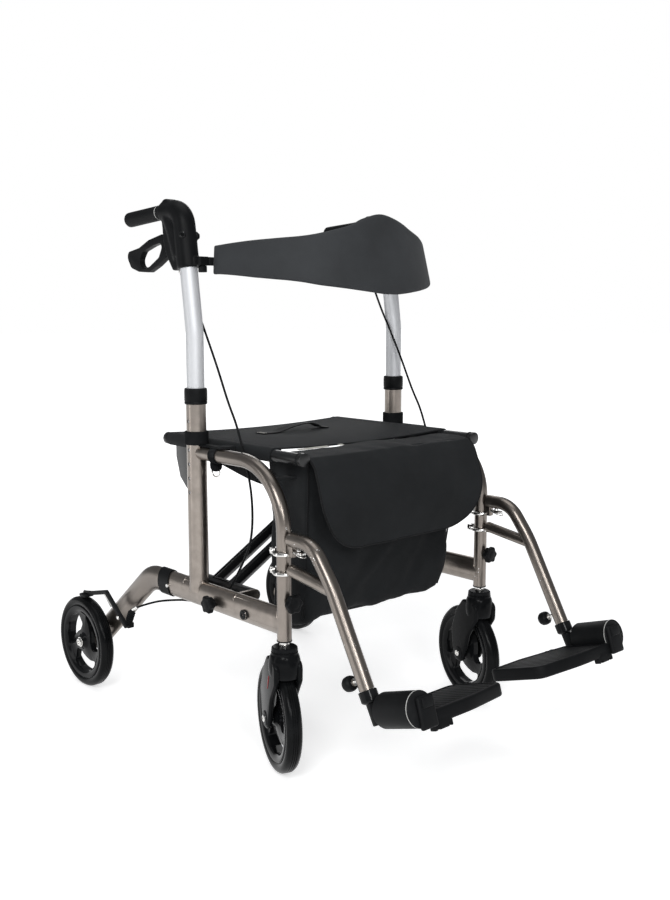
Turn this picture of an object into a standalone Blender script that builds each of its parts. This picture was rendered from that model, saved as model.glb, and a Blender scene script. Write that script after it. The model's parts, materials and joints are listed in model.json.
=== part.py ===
"""Rollator with a folding seat, hand brakes and swing-away footrests.

Metres, +Z up. X runs across: -X is the right-hand side of the person who pushes it.
-Y is the front, with the casters and footrests, and +Y the rear, with the grips.
The origin is on the floor, in the middle.
"""
import math

import bmesh
import bpy
from mathutils import Matrix, Vector

# Clearances
GAP = 0.0003
RUNNING = 0.0005
WELD = 0.00001

# Round detail: sides of tubes and steps of turned pieces
TUBE_DETAIL = 4
OVAL_DETAIL = 5
ROD_SIDES = 12
POST_SIDES = 16
WHEEL_STEPS = 20

# Wheel size, which sets how high its neighbours stand
WHEEL_RADIUS = 0.095
TYRE_TOP = 2 * WHEEL_RADIUS

# Side frame, rail and post
FRAME_X = 0.253
RAIL_Z = 0.2725
RAIL_TALL = 0.048
RAIL_WIDE = 0.025
RAIL_REAR = 0.150
RAIL_CAP_Y = -0.105
RAIL_CAP_Z = 0.267
RAIL_CAP_RADIUS = 0.009
RAIL_CAP_TALL = 0.004
POST_Y = 0.048
POST_RADIUS = 0.018
POST_WALL = 0.0016
POST_TOP = 0.625
POST_SINK = 0.020
POST_HOLE_TOP = POST_TOP - 0.0344
POST_HOLE_PITCH = 0.0258
POST_HOLE_COUNT = 6
POST_HOLE_RADIUS = 0.0035
COLLAR_RADIUS = 0.0205
COLLAR_LOW = POST_TOP - 0.0034
COLLAR_TOP = POST_TOP + 0.025

# Front arch and upright
UPRIGHT_Y = -0.198
ARCH_RADIUS = 0.0125
ARCH_Z = 0.534
ARCH_BEND = 0.110
UPRIGHT_BOTTOM = TYRE_TOP + 0.050

# Rear leg
LEG_COLLAR_LENGTH = 0.034
LEG_COLLAR_WALL = 0.0022
LEG_BEND = 0.125
LEG_END_RADIUS = 0.021
LEG_CORNER_Y = 0.207

# Wheels
TYRE_WIDTH = 0.028
TYRE_DEPTH = 0.0172
REAR_WHEEL_X = 0.2845
REAR_AXLE_Y = 0.424
REAR_AXLE_RADIUS = 0.006
REAR_BOLT_RADIUS = 0.009
REAR_BOLT_THICK = 0.005
HUB_RADIUS = 0.019
WEB_THICK = 0.010
RIM_BAND = 0.009
SPOKE_COUNT = 3
CASTER_TRAIL = 0.035
CASTER_TURNS = {-1: math.radians(22), 1: math.radians(15)}
CASTER_AXLE_RADIUS = 0.004
CASTER_STEM_RADIUS = 0.0055
CASTER_STEM_LENGTH = 0.056
CASTER_RING_RADIUS = 0.0085
CASTER_RING_TALL = 0.008
FORK_LEG_THICK = 0.005
FORK_LEG_END = 0.014
FORK_TYRE_CLEARANCE = 0.003

# Scissor of the seat
PIVOT_X = 0.216
PIVOT_Z = 0.285
PIVOT_PIN_RADIUS = 0.004
PIVOT_TUBE_RADIUS = 0.011
LUG_FRONT = -0.070
LUG_REAR = 0.085
LUG_THICK = 0.005
LUG_RADIUS = 0.011
SEAT_RAIL_Z = 0.543
SEAT_RAIL_RADIUS = 0.010
SEAT_RAIL_FRONT = -0.203
SEAT_RAIL_REAR = 0.192
SEAT_CAP_RADIUS = 0.0118
SEAT_CAP_LENGTH = 0.006
BRACE_A_YS = (0.050, 0.000)
BRACE_A_RADIUS = 0.011
BRACE_B_Y = 0.025
BRACE_B_RADIUS = 0.012
END_PLATE_THICK = 0.004
END_PLATE_FRONT = 0.112
END_PLATE_REAR = 0.168
END_PLATE_LOW = 0.449

# Seat cloth and its rests
SLEEVE_RADIUS = 0.0125
SEAT_FRONT = -0.130
SEAT_REAR = 0.186
SEAT_THICK = 0.003
SEAT_SAG = 0.006
REST_BAND_LOW = 0.549
REST_BAND_TALL = 0.023
REST_BAND_RADIUS = 0.0215
REST_FRONT = -0.036
REST_REAR = -0.014
REST_SHELF_REACH = 0.033
REST_SHELF_THICK = 0.009
REST_STRIP_WIDE = 0.016
REST_STRIP_THICK = 0.004

# Handle
HANDLE_RADIUS = 0.0158
HANDLE_BOTTOM = 0.450
HANDLE_BEND_Z = 0.752
HANDLE_LEAN = math.radians(7.6)
HANDLE_TOP = 0.905
HEAD_THICK = 0.042
HEAD_RADIUS = 0.0200
HEAD_ELBOW = (0.0775, 0.9635)
HEAD_BEND = 0.030
HEAD_WEB_THICK = 0.021
HEAD_LUG_FRONT = 0.0285
HEAD_LUG_TALL = 0.016
GRIP_START = (0.140, 0.965)
GRIP_END = (0.257, 0.958)
GRIP_RADIUS = 0.0135
GRIP_BAR_RADIUS = 0.0095
GRIP_BAR_SHORT = 0.006
GRIP_COVER_START = 0.0122
LEVER_PIVOT = (0.113, 0.913)
LEVER_PIN_RADIUS = 0.003
LEVER_THICK = 0.012
LEVER_SLOT_DEPTH = 0.100
CABLE_RADIUS = 0.0021
CABLE_X = 0.2345
CABLE_STEPS = 38

# Backrest
BACKREST_PIVOT = (0.036, 0.874)
BACKREST_PIN_RADIUS = 0.004
BACKREST_BAR_TALL = 0.015
BACKREST_BAR_REAR = 0.0395
BACKREST_BAR_REACH = 0.0145
PAD_END_X = 0.225
PAD_END_Y = 0.030
PAD_HALF_WIDTH = 0.2155
PAD_DEPTH = 0.218
PAD_THICK = 0.019
PAD_LEAN = math.tan(math.radians(12))
PAD_LEAN_FULL = math.radians(35)

# Brake on the rear leg
BRAKE_PIVOT = (0.283, TYRE_TOP - 0.012)
BRAKE_PIN_RADIUS = 0.0035
BRAKE_ARM_THICK = 0.008
BRAKE_SHOE_WIDE = 0.022
BRAKE_SHOE_GAP = 0.0025
HOUSING_PLATE_THICK = 0.006

# Footrest
HANGER_RADIUS = 0.01225
HANGER_TOP_Z = 0.4165
HANGER_BEND_Y = -0.2700
HANGER_KNEE = Vector((-0.3143, 0.3600))
HANGER_END = Vector((-0.3966, 0.2110))
HANGER_LINE = Vector((0, *(HANGER_END - HANGER_KNEE))).normalized()
STRUT_RADIUS = 0.010
STRUT_Z = 0.3650
STRUT_UP = 0.158
RING_RADIUS = 0.0178
RING_TALL = 0.006
RING_UPPER_Z = 0.391
RING_LOWER_Z = 0.358
HANGER_HOLE_RADIUS = 0.003
HANGER_HOLE_PITCH = 0.0262
HANGER_HOLE_FIRST = 0.0482
HANGER_HOLE_COUNT = 4
SLIDER_RADIUS = 0.0092
SLIDER_INSERT = 0.120
SLIDER_DROP = 0.031
SHOULDER_RADIUS = 0.0150
SHOULDER_LENGTH = 0.018
BARREL_REAR = (-0.4247, 0.1869)
BARREL_TILT = math.radians(18)
BARREL_LENGTH = 0.080
BARREL_RADIUS = 0.0275
HINGE_ROD_RADIUS = 0.008
HINGE_LUG_RADIUS = 0.0135
HINGE_LUG_THICK = 0.020
PIN_HEAD_RADIUS = 0.0095
PIN_HEAD_PLACE = 0.0890
PIN_HEAD_LENGTH = 0.0071
PLUG_RADIUS = 0.017
PLUG_LENGTH = 0.006
PLATE_REACH = 0.205
PLATE_FRONT = 0.0885
PLATE_DROP = 0.0085
PLATE_THICK = 0.021
KNOB_UP = 0.018
KNOB_RADIUS = 0.0125
KNOB_STEM_RADIUS = 0.0032
KNOB_STEM_LENGTH = 0.0155
KNOB_TALL = 0.019
LATCH_Y = -0.236
LATCH_RADIUS = 0.0035

# Clamping knobs
STAR_RADIUS = 0.0165
STAR_THICK = 0.011
STAR_POINTS = 6
STAR_DIP = 0.82
STAR_STEM_RADIUS = 0.006
STAR_STEM_LENGTH = 0.007
RAIL_KNOB_Y = -0.014
FRONT_KNOB_Z = 0.309

# Bag
BAG_TOP_X = 0.198
BAG_TOP_FRONT = -0.197
BAG_TOP_REAR = -0.078
BAG_TOP_Z = 0.5447
BAG_REAR_DROP = 0.018
BAG_BOTTOM_X = 0.178
BAG_BOTTOM_FRONT = -0.152
BAG_BOTTOM_REAR = -0.082
BAG_BOTTOM_Z = 0.243
BAG_WALL = 0.003
BAG_TAB_Y = -0.150
FLAP_X = 0.2030
FLAP_REAR = -0.140
FLAP_FRONT = -0.212
FLAP_TOP_Z = 0.547
FLAP_BOTTOM_Z = 0.385
FLAP_BULGE = 0.030
FLAP_THICK = 0.004
FLAP_CORNER = 0.095

PLANES = {
    "YZ": Matrix(((0, 0, 1), (1, 0, 0), (0, 1, 0))).to_4x4(),
    "XZ": Matrix(((1, 0, 0), (0, 0, -1), (0, 1, 0))).to_4x4(),
    "XY": Matrix.Identity(4),
}
SIDES = (("right", -1), ("left", 1))


# Helpers for scene, materials and objects

def clear_scene():
    """Remove what the scene holds."""
    for obj in list(bpy.data.objects):
        bpy.data.objects.remove(obj)


def new_collection(name):
    """Add a collection to the scene."""
    collection = bpy.data.collections.new(name)
    bpy.context.scene.collection.children.link(collection)
    return collection


def new_material(name, colour, roughness, metallic):
    """Make a material with one Principled shader."""
    material = bpy.data.materials.new(name)
    material.use_nodes = True
    shader = material.node_tree.nodes["Principled BSDF"]
    shader.inputs["Base Color"].default_value = (*colour, 1.0)
    shader.inputs["Roughness"].default_value = roughness
    shader.inputs["Metallic"].default_value = metallic
    return material


def add_object(name, data):
    """Put an object into the rollator's collection."""
    obj = bpy.data.objects.new(name, data)
    PARTS.objects.link(obj)
    return obj


def from_bmesh(bm, name="solid"):
    """Turn a bmesh into an object."""
    mesh = bpy.data.meshes.new(name)
    bm.to_mesh(mesh)
    bm.free()
    return add_object(name, mesh)


def evaluated_mesh(obj):
    """Read an object's mesh with its modifiers."""
    graph = bpy.context.evaluated_depsgraph_get()
    return bpy.data.meshes.new_from_object(obj.evaluated_get(graph))


def solid_from(source):
    """Replace a curve or a modified object by its closed mesh."""
    mesh = evaluated_mesh(source)
    bm = bmesh.new()
    bm.from_mesh(mesh)
    bmesh.ops.remove_doubles(bm, verts=bm.verts, dist=WELD)
    bmesh.ops.recalc_face_normals(bm, faces=bm.faces)
    bm.to_mesh(mesh)
    bm.free()
    mesh.transform(source.matrix_world)
    solid = add_object("solid", mesh)
    bpy.data.objects.remove(source)
    return solid


def combine(target, tool, operation):
    """Join or cut two solids and remove the second one."""
    modifier = target.modifiers.new("Boolean", "BOOLEAN")
    modifier.operation = operation
    modifier.solver = "EXACT"
    modifier.object = tool
    mesh = evaluated_mesh(target)
    target.modifiers.clear()
    target.data = mesh
    bpy.data.objects.remove(tool)
    return target


def union(target, *tools):
    """Join solids into one."""
    for tool in tools:
        combine(target, tool, "UNION")
    return target


def cut(target, *tools):
    """Cut solids out of one."""
    for tool in tools:
        combine(target, tool, "DIFFERENCE")
    return target


def finish(obj, name, material, origin=(0, 0, 0)):
    """Name a piece, give it its material and move its origin to a point of its own."""
    obj.name = name
    obj.data.name = name
    obj.data.materials.clear()
    obj.data.materials.append(material)
    obj.data.shade_smooth()
    obj.data.set_sharp_from_angle(angle=math.radians(35))
    obj.data.transform(Matrix.Translation(-Vector(origin)))
    obj.location = origin
    return obj


def joint_empty(name, location):
    """Mark a joint's axis with an empty."""
    empty = add_object(name, None)
    empty.empty_display_size = 0.03
    empty.location = location
    return empty


def hang(pieces, empty):
    """Parent pieces to a joint's empty without moving them."""
    for piece in pieces:
        piece.parent = empty
        piece.matrix_parent_inverse = Matrix.Translation(-empty.location)


# Helpers for shapes

def outside(radius, sides):
    """Corner radius of a polygon whose flats lie at this radius."""
    return radius / math.cos(math.pi / sides)


def box(low, high, edge=0.0):
    """Make a box between two corners, with rounded edges if wanted."""
    low = Vector(low)
    high = Vector(high)
    bm = bmesh.new()
    bmesh.ops.create_cube(bm, size=1)
    size = high - low
    scale = Matrix.Diagonal((abs(size.x), abs(size.y), abs(size.z), 1))
    bmesh.ops.transform(bm, matrix=Matrix.Translation((low + high) / 2) @ scale, verts=bm.verts)
    if edge:
        bmesh.ops.bevel(bm, geom=bm.edges, offset=edge, segments=1, affect="EDGES", profile=0.5)
    return from_bmesh(bm)


def rod(start, end, radius, sides=ROD_SIDES, end_radius=None):
    """Make a cylinder or cone between two points."""
    start = Vector(start)
    end = Vector(end)
    axis = end - start
    bm = bmesh.new()
    bmesh.ops.create_cone(
        bm, cap_ends=True, segments=sides, radius1=radius,
        radius2=radius if end_radius is None else end_radius, depth=axis.length,
    )
    turn = axis.to_track_quat("Z", "Y").to_matrix().to_4x4()
    bmesh.ops.transform(bm, matrix=Matrix.Translation((start + end) / 2) @ turn, verts=bm.verts)
    return from_bmesh(bm)


def bore(start, end, radius, sides=ROD_SIDES):
    """Make a round cutter whose flats clear the given radius."""
    return rod(start, end, outside(radius, sides), sides)


def rounded(points, radius, steps=4, closed=False):
    """Round the corners of a run of points with arcs."""
    corners = [Vector(point) for point in points]
    radii = radius if isinstance(radius, (list, tuple)) else [radius] * len(corners)
    path = []
    for index, corner in enumerate(corners):
        if radii[index] == 0 or (not closed and index in (0, len(corners) - 1)):
            path.append(corner)
            continue
        before = corners[index - 1] - corner
        after = corners[(index + 1) % len(corners)] - corner
        half = before.angle(after) / 2
        reach = min(radii[index] / math.tan(half), 0.49 * min(before.length, after.length))
        if reach < WELD:
            path.extend([corner] * (steps + 1))
            continue
        before.normalize()
        after.normalize()
        centre = corner + (before + after).normalized() * reach / math.cos(half)
        start = corner + before * reach - centre
        end = corner + after * reach - centre
        for step in range(steps + 1):
            path.append(centre + start.slerp(end, step / steps).normalized() * start.length)
    return path


def tube(points, radius, detail=TUBE_DETAIL, flatten=1.0):
    """Run a round tube through points; flatten narrows it along X about its own plane."""
    curve = bpy.data.curves.new("tube", "CURVE")
    curve.dimensions = "3D"
    curve.bevel_depth = radius
    curve.bevel_resolution = detail
    curve.use_fill_caps = True
    spline = curve.splines.new("POLY")
    spline.points.add(len(points) - 1)
    plane_x = points[0][0]
    for point, place in zip(spline.points, points):
        point.co = ((place[0] - plane_x) / flatten, place[1], place[2], 1)
    obj = add_object("tube", curve)
    obj.matrix_world = Matrix.Translation((plane_x, 0, 0)) @ Matrix.Diagonal((flatten, 1, 1, 1))
    return solid_from(obj)


def plate(outline, plane, middle, thickness, holes=()):
    """Extrude a flat outline, with holes, to both sides of its middle."""
    curve = bpy.data.curves.new("plate", "CURVE")
    curve.dimensions = "2D"
    curve.fill_mode = "BOTH"
    curve.extrude = thickness / 2
    for loop in (outline, *holes):
        spline = curve.splines.new("POLY")
        spline.points.add(len(loop) - 1)
        for point, place in zip(spline.points, loop):
            point.co = (place[0], place[1], 0, 1)
        spline.use_cyclic_u = True
    obj = add_object("plate", curve)
    normal = {"YZ": (middle, 0, 0), "XZ": (0, middle, 0), "XY": (0, 0, middle)}[plane]
    obj.matrix_world = Matrix.Translation(normal) @ PLANES[plane]
    return solid_from(obj)


def link_outline(start, end, radius, steps=6):
    """Outline of a bar with two round ends."""
    start = Vector(start)
    end = Vector(end)
    along = math.atan2(end.y - start.y, end.x - start.x)
    points = []
    for centre, first in ((end, along - math.pi / 2), (start, along + math.pi / 2)):
        for step in range(steps + 1):
            angle = first + math.pi * step / steps
            points.append((centre.x + radius * math.cos(angle), centre.y + radius * math.sin(angle)))
    return points


def turned(profile, centre, axis, steps=ROD_SIDES, roll=0.0, closed=True):
    """Spin a profile of (radius, height) points, listed down its outer side, about an axis."""
    mesh = bpy.data.meshes.new("profile")
    count = len(profile)
    edges = [(i, i + 1) for i in range(count - 1)]
    if closed:
        edges.append((count - 1, 0))
    mesh.from_pydata([(radius, 0, height) for radius, height in profile], edges, [])
    obj = add_object("turned", mesh)
    screw = obj.modifiers.new("Screw", "SCREW")
    screw.steps = steps
    screw.render_steps = steps
    screw.use_merge_vertices = True
    screw.merge_threshold = WELD
    turn = Vector(axis).to_track_quat("Z", "Y").to_matrix().to_4x4()
    obj.matrix_world = Matrix.Translation(centre) @ turn @ Matrix.Rotation(roll, 4, "Z")
    return solid_from(obj)


def bevelled(obj, width, segments=2, angle=40):
    """Round a solid's sharp edges."""
    modifier = obj.modifiers.new("Bevel", "BEVEL")
    modifier.width = width
    modifier.segments = segments
    modifier.limit_method = "ANGLE"
    modifier.angle_limit = math.radians(angle)
    return solid_from(obj)


def yz(x, pairs):
    """Points in the plane at this x."""
    return [(x, y, z) for y, z in pairs]


def rail_solid(x, grow=0.0, front=UPRIGHT_Y, rear=RAIL_REAR):
    """Oval tube along the side."""
    wide = RAIL_WIDE + 2 * grow
    tall = RAIL_TALL + 2 * grow
    return tube(yz(x, [(front, RAIL_Z), (rear, RAIL_Z)]), tall / 2, OVAL_DETAIL, wide / tall)


def leg_solid(x, grow=0.0, front=RAIL_REAR + GAP):
    """Curved oval tube from the rail down to the rear axle."""
    wide = RAIL_WIDE + 2 * grow
    tall = RAIL_TALL + 2 * grow
    corner = (LEG_CORNER_Y, RAIL_Z)
    path = rounded(yz(x, [(front, RAIL_Z), corner, (REAR_AXLE_Y, WHEEL_RADIUS)]), LEG_BEND, 4)
    return tube(path, tall / 2, OVAL_DETAIL, wide / tall)


def arch_path(x, rear):
    """Centre line of the front arch, down to the caster."""
    corners = [(rear, ARCH_Z), (UPRIGHT_Y, ARCH_Z), (UPRIGHT_Y, UPRIGHT_BOTTOM)]
    return rounded(yz(x, corners), ARCH_BEND, 6)


# Side frame

def make_rail(x, side):
    """Rail with the two lugs and the pin that carry the scissor, and a bolt cap."""
    rail = rail_solid(x)
    for lug_y in (LUG_FRONT, LUG_REAR):
        outline = link_outline((side * PIVOT_X, PIVOT_Z), (x, PIVOT_Z), LUG_RADIUS)
        union(rail, plate(outline, "XZ", lug_y, LUG_THICK))
    pin_x = side * PIVOT_X
    union(rail, rod((pin_x, LUG_FRONT, PIVOT_Z), (pin_x, LUG_REAR, PIVOT_Z), PIVOT_PIN_RADIUS, 12))
    cap_end = x + side * (RAIL_WIDE / 2 + RAIL_CAP_TALL)
    union(rail, rod((x, RAIL_CAP_Y, RAIL_CAP_Z), (cap_end, RAIL_CAP_Y, RAIL_CAP_Z), RAIL_CAP_RADIUS))
    return cut(rail, bore((x, UPRIGHT_Y, 0.2), (x, UPRIGHT_Y, 0.4), ARCH_RADIUS + GAP))


def make_post(x, side):
    """Hollow post coped over the rail, with its row of holes on the outer face."""
    low = RAIL_Z + RAIL_TALL / 2 - POST_SINK
    post = rod((x, POST_Y, low), (x, POST_Y, POST_TOP), POST_RADIUS, POST_SIDES)
    inner = POST_RADIUS - POST_WALL
    cut(post, rod((x, POST_Y, 0.2), (x, POST_Y, POST_TOP + 0.01), inner, POST_SIDES))
    cut(post, rail_solid(x, GAP, POST_Y - 0.03, POST_Y + 0.03))
    for index in range(POST_HOLE_COUNT):
        z = POST_HOLE_TOP - index * POST_HOLE_PITCH
        outer = x + side * (POST_RADIUS + 0.002)
        cut(post, rod((x + side * inner * 0.7, POST_Y, z), (outer, POST_Y, z), POST_HOLE_RADIUS, 6))
    return post


def make_front_arch(x, side):
    """Bent tube from the post to the caster, with the bore for the caster's stem."""
    arch = tube(arch_path(x, POST_Y - 0.008), ARCH_RADIUS)
    cut(arch, bore((x, POST_Y, 0.45), (x, POST_Y, 0.6), POST_RADIUS + GAP))
    low = (x, UPRIGHT_Y, UPRIGHT_BOTTOM - 0.01)
    high = (x, UPRIGHT_Y, UPRIGHT_BOTTOM + CASTER_STEM_LENGTH + 0.004)
    return cut(arch, bore(low, high, CASTER_STEM_RADIUS + RUNNING))


def make_post_collar(x, side):
    """Collar with a wide bore round the post and a narrow one round the handle tube."""
    wide = outside(POST_RADIUS + GAP, POST_SIDES)
    narrow = outside(HANDLE_RADIUS + RUNNING, POST_SIDES)
    step = POST_TOP + GAP
    profile = [
        (narrow, COLLAR_TOP), (COLLAR_RADIUS, COLLAR_TOP), (COLLAR_RADIUS, COLLAR_LOW),
        (wide, COLLAR_LOW), (wide, step), (narrow, step),
    ]
    return turned(profile, (x, POST_Y, 0), (0, 0, 1), POST_SIDES)


def make_seat_rest(x, side):
    """Band round the post, strip over the arch, and the saddle under the seat rail."""
    high = REST_BAND_LOW + REST_BAND_TALL
    rest = rod((x, POST_Y, REST_BAND_LOW), (x, POST_Y, high), REST_BAND_RADIUS)
    strip_low = ARCH_Z + ARCH_RADIUS + GAP
    strip_high = strip_low + REST_STRIP_THICK
    half = REST_STRIP_WIDE / 2
    inner = side * (PIVOT_X + SLEEVE_RADIUS + GAP)
    face = side * (FRAME_X - ARCH_RADIUS - GAP)
    shelf_top = SEAT_RAIL_Z - SLEEVE_RADIUS - GAP
    shelf_low = shelf_top - REST_SHELF_THICK
    tip = face - side * REST_SHELF_REACH
    saddle = [
        (x, strip_high), (inner, strip_high), (inner, shelf_top), (tip, shelf_top),
        (tip, shelf_low), (face, shelf_low), (face, strip_low), (x, strip_low),
    ]
    union(rest, plate(saddle, "XZ", (REST_FRONT + REST_REAR) / 2, REST_REAR - REST_FRONT))
    inset = 0.0004
    strip = box((x - half, REST_FRONT + inset, strip_low + inset), (x + half, POST_Y, strip_high - inset))
    union(rest, strip)
    return cut(rest, bore((x, POST_Y, 0.5), (x, POST_Y, 0.6), POST_RADIUS + GAP))


def make_rear_leg(x, side):
    """Rear leg with the stub axle and the bolt that holds the wheel."""
    leg = leg_solid(x)
    wide = RAIL_WIDE / 2
    hub = (REAR_AXLE_Y, WHEEL_RADIUS)
    union(leg, rod((x - wide, *hub), (x + wide, *hub), LEG_END_RADIUS))
    bolt_in = side * (REAR_WHEEL_X + TYRE_WIDTH / 2 + RUNNING)
    union(leg, rod((x, *hub), (bolt_in + side * 0.001, *hub), REAR_AXLE_RADIUS, 12))
    bolt_out = bolt_in + side * REAR_BOLT_THICK
    union(leg, rod((bolt_in, *hub), (bolt_out, *hub), REAR_BOLT_RADIUS, 12))
    return leg


def make_leg_collar(x, side):
    """Sleeve over the joint of rail and leg."""
    front = RAIL_REAR - LEG_COLLAR_LENGTH / 2
    rear = RAIL_REAR + LEG_COLLAR_LENGTH / 2
    collar = rail_solid(x, LEG_COLLAR_WALL, front, rear)
    return cut(collar, rail_solid(x, GAP * 2, front - 0.01, rear + 0.01))


# Wheels

def make_tyre(centre):
    """Tyre with a flat tread and chamfered shoulders."""
    half = TYRE_WIDTH / 2
    inner = WHEEL_RADIUS - TYRE_DEPTH
    profile = [
        (inner, half - 0.001), (inner + 0.009, half), (WHEEL_RADIUS, half - 0.006),
        (WHEEL_RADIUS, 0.006 - half), (inner + 0.009, -half), (inner, 0.001 - half),
    ]
    profile = [(outside(radius, WHEEL_STEPS), height) for radius, height in profile]
    return turned(profile, centre, (1, 0, 0), WHEEL_STEPS, math.pi / WHEEL_STEPS)


def kidney(centre, angle, inner, outer):
    """Outline of the opening between two spokes."""
    points = []
    for radius, spread in ((outer, math.radians(38)), (inner, math.radians(-22))):
        for step in range(4):
            turn = angle - spread + 2 * spread * step / 3
            points.append((centre[0] + radius * math.cos(turn), centre[1] + radius * math.sin(turn), 0))
    return rounded(points, [0.006, 0, 0, 0.006] * 2, 1, closed=True)


def make_rim(centre, axle_radius):
    """Rim with a hub, a web with three openings, and the band under the tyre."""
    half = TYRE_WIDTH / 2
    web = WEB_THICK / 2
    outer = outside(WHEEL_RADIUS - TYRE_DEPTH - GAP, WHEEL_STEPS)
    band = outer - RIM_BAND
    hole = outside(axle_radius + RUNNING, WHEEL_STEPS)
    profile = [
        (hole, half), (HUB_RADIUS, half), (HUB_RADIUS + 0.003, web), (band, web),
        (outer, half - 0.002), (outer, 0.002 - half),
        (band, -web), (HUB_RADIUS + 0.003, -web), (HUB_RADIUS, -half), (hole, -half),
    ]
    rim = turned(profile, centre, (1, 0, 0), WHEEL_STEPS, math.pi / WHEEL_STEPS)
    for index in range(SPOKE_COUNT):
        angle = math.radians(70) + 2 * math.pi * index / SPOKE_COUNT
        outline = kidney(centre[1:], angle, HUB_RADIUS + 0.009, band - 0.003)
        cut(rim, plate(outline, "YZ", centre[0], TYRE_WIDTH))
    return rim


def caster_hub(x):
    """Centre of a caster's wheel, straight behind the swivel axis."""
    return (x, UPRIGHT_Y + CASTER_TRAIL, WHEEL_RADIUS)


def swivelled(obj, side):
    """Turn a caster's piece about its swivel axis, to the way it stands."""
    place = Matrix.Translation((side * FRAME_X, UPRIGHT_Y, 0))
    obj.data.transform(place @ Matrix.Rotation(-CASTER_TURNS[side], 4, "Z") @ place.inverted())
    return obj


def make_caster_fork(x, side):
    """Fork with its stem, crown, two legs and the axle."""
    top = UPRIGHT_BOTTOM - GAP
    neck = top - CASTER_RING_TALL
    crown_profile = [
        (0, neck), (0.0165, neck), (0.0175, neck - 0.005), (0.0255, neck - 0.017),
        (0.0275, neck - 0.033), (0.0255, neck - 0.052), (0, neck - 0.052),
    ]
    fork = turned(crown_profile, (x, UPRIGHT_Y, 0), (0, 0, 1), ROD_SIDES, closed=False)
    hub = caster_hub(x)
    inside = TYRE_WIDTH / 2 + 0.0018
    for way in (-1, 1):
        outline = [
            (UPRIGHT_Y - 0.026, TYRE_TOP + 0.018), (UPRIGHT_Y + 0.020, TYRE_TOP + 0.024),
            (UPRIGHT_Y + 0.040, TYRE_TOP - 0.002), (hub[1] + FORK_LEG_END, hub[2] + 0.045), *leg_end(hub),
            (hub[1] - FORK_LEG_END - 0.008, hub[2] + 0.045), (UPRIGHT_Y - 0.022, TYRE_TOP - 0.014),
        ]
        middle = x + way * (inside + FORK_LEG_THICK / 2)
        union(fork, plate(outline, "YZ", middle, FORK_LEG_THICK))
    clearance = WHEEL_RADIUS + FORK_TYRE_CLEARANCE
    cut(fork, bore((x - inside, *hub[1:]), (x + inside, *hub[1:]), clearance, 20))
    reach = inside + FORK_LEG_THICK + 0.003
    union(fork, rod((x - reach, *hub[1:]), (x + reach, *hub[1:]), CASTER_AXLE_RADIUS, 12))
    union(fork, rod((x, UPRIGHT_Y, neck - 0.003), (x, UPRIGHT_Y, top), CASTER_RING_RADIUS, 12))
    stem_top = UPRIGHT_BOTTOM + CASTER_STEM_LENGTH
    union(fork, rod((x, UPRIGHT_Y, neck), (x, UPRIGHT_Y, stem_top), CASTER_STEM_RADIUS, 12))
    return swivelled(fork, side)


def leg_end(hub):
    """Round lower end of a fork leg, from rear to front."""
    points = []
    for step in range(5):
        angle = -math.pi * step / 4
        points.append((hub[1] + FORK_LEG_END * math.cos(angle), hub[2] + FORK_LEG_END * math.sin(angle)))
    return points


# Handle

def handle_point(z):
    """Point (y, z) on the centre line of the handle tube."""
    lean = max(0.0, z - HANDLE_BEND_Z) * math.tan(HANDLE_LEAN)
    return (POST_Y + lean, z)


def handle_solid(x, radius, low, high):
    """Handle tube, straight below and leaning back above the bend."""
    if low >= HANDLE_BEND_Z:
        return tube(yz(x, [handle_point(low), handle_point(high)]), radius, OVAL_DETAIL)
    corners = [handle_point(low), handle_point(HANDLE_BEND_Z), handle_point(high)]
    return tube(rounded(yz(x, corners), 0.12, 2), radius, OVAL_DETAIL)


def make_handle_head(x, side):
    """Plastic elbow on the tube, with a web for the lever and a lug for the backrest's pin."""
    path = rounded(yz(x, [handle_point(0.862), HEAD_ELBOW, (0.1500, 0.9645)]), HEAD_BEND, 4)
    head = tube(path, HEAD_RADIUS, OVAL_DETAIL)
    web = [
        (0.0600, 0.8640), (0.0935, 0.8580), (0.1030, 0.8710), (0.1140, 0.8850), (0.1235, 0.9130),
        (0.1255, 0.9350), (0.1300, 0.9600), (0.0900, 0.9600), (0.0660, 0.9200),
    ]
    union(head, plate(web, "YZ", x, HEAD_WEB_THICK))
    union(head, rod((x - 0.012, 0.1345, 0.9735), (x + 0.012, 0.1345, 0.9735), 0.0125, 12))
    y, z = BACKREST_PIVOT
    face = x - side * HEAD_THICK / 2
    half = HEAD_LUG_TALL / 2
    union(head, box((face, HEAD_LUG_FRONT, z - half), (x, 0.060, z + half)))
    union(head, rod((x, *GRIP_START), (x, GRIP_END[0] - GRIP_BAR_SHORT, GRIP_END[1]), GRIP_BAR_RADIUS, 12))
    cut(head, handle_solid(x, outside(HANDLE_RADIUS + GAP, 16), 0.80, HANDLE_TOP + GAP))
    half = LEVER_THICK / 2 + RUNNING
    cut(head, box((x - half, LEVER_SLOT_DEPTH, 0.850), (x + half, 0.16, 0.9415)))
    reach = HEAD_WEB_THICK / 2 - 0.001
    union(head, rod((x - reach, *LEVER_PIVOT), (x + reach, *LEVER_PIVOT), LEVER_PIN_RADIUS, 12))
    end = face + side * 0.012
    return cut(head, bore((face - side * 0.002, y, z), (end, y, z), 0.0045, 12))


def make_grip(x, side):
    """Grip: a sleeve over the bar, closed at the rear end."""
    start = Vector((x, *GRIP_START))
    axis = (Vector((x, *GRIP_END)) - start)
    length = axis.length
    hole = outside(GRIP_BAR_RADIUS + GAP, ROD_SIDES)
    floor = length - GRIP_BAR_SHORT + GAP
    first = GRIP_COVER_START
    profile = [
        (0, length), (GRIP_RADIUS - 0.004, length), (GRIP_RADIUS, length - 0.005),
        (GRIP_RADIUS, first), (hole, first), (hole, floor), (0, floor),
    ]
    return turned(profile, start, axis, ROD_SIDES, closed=False)


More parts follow.
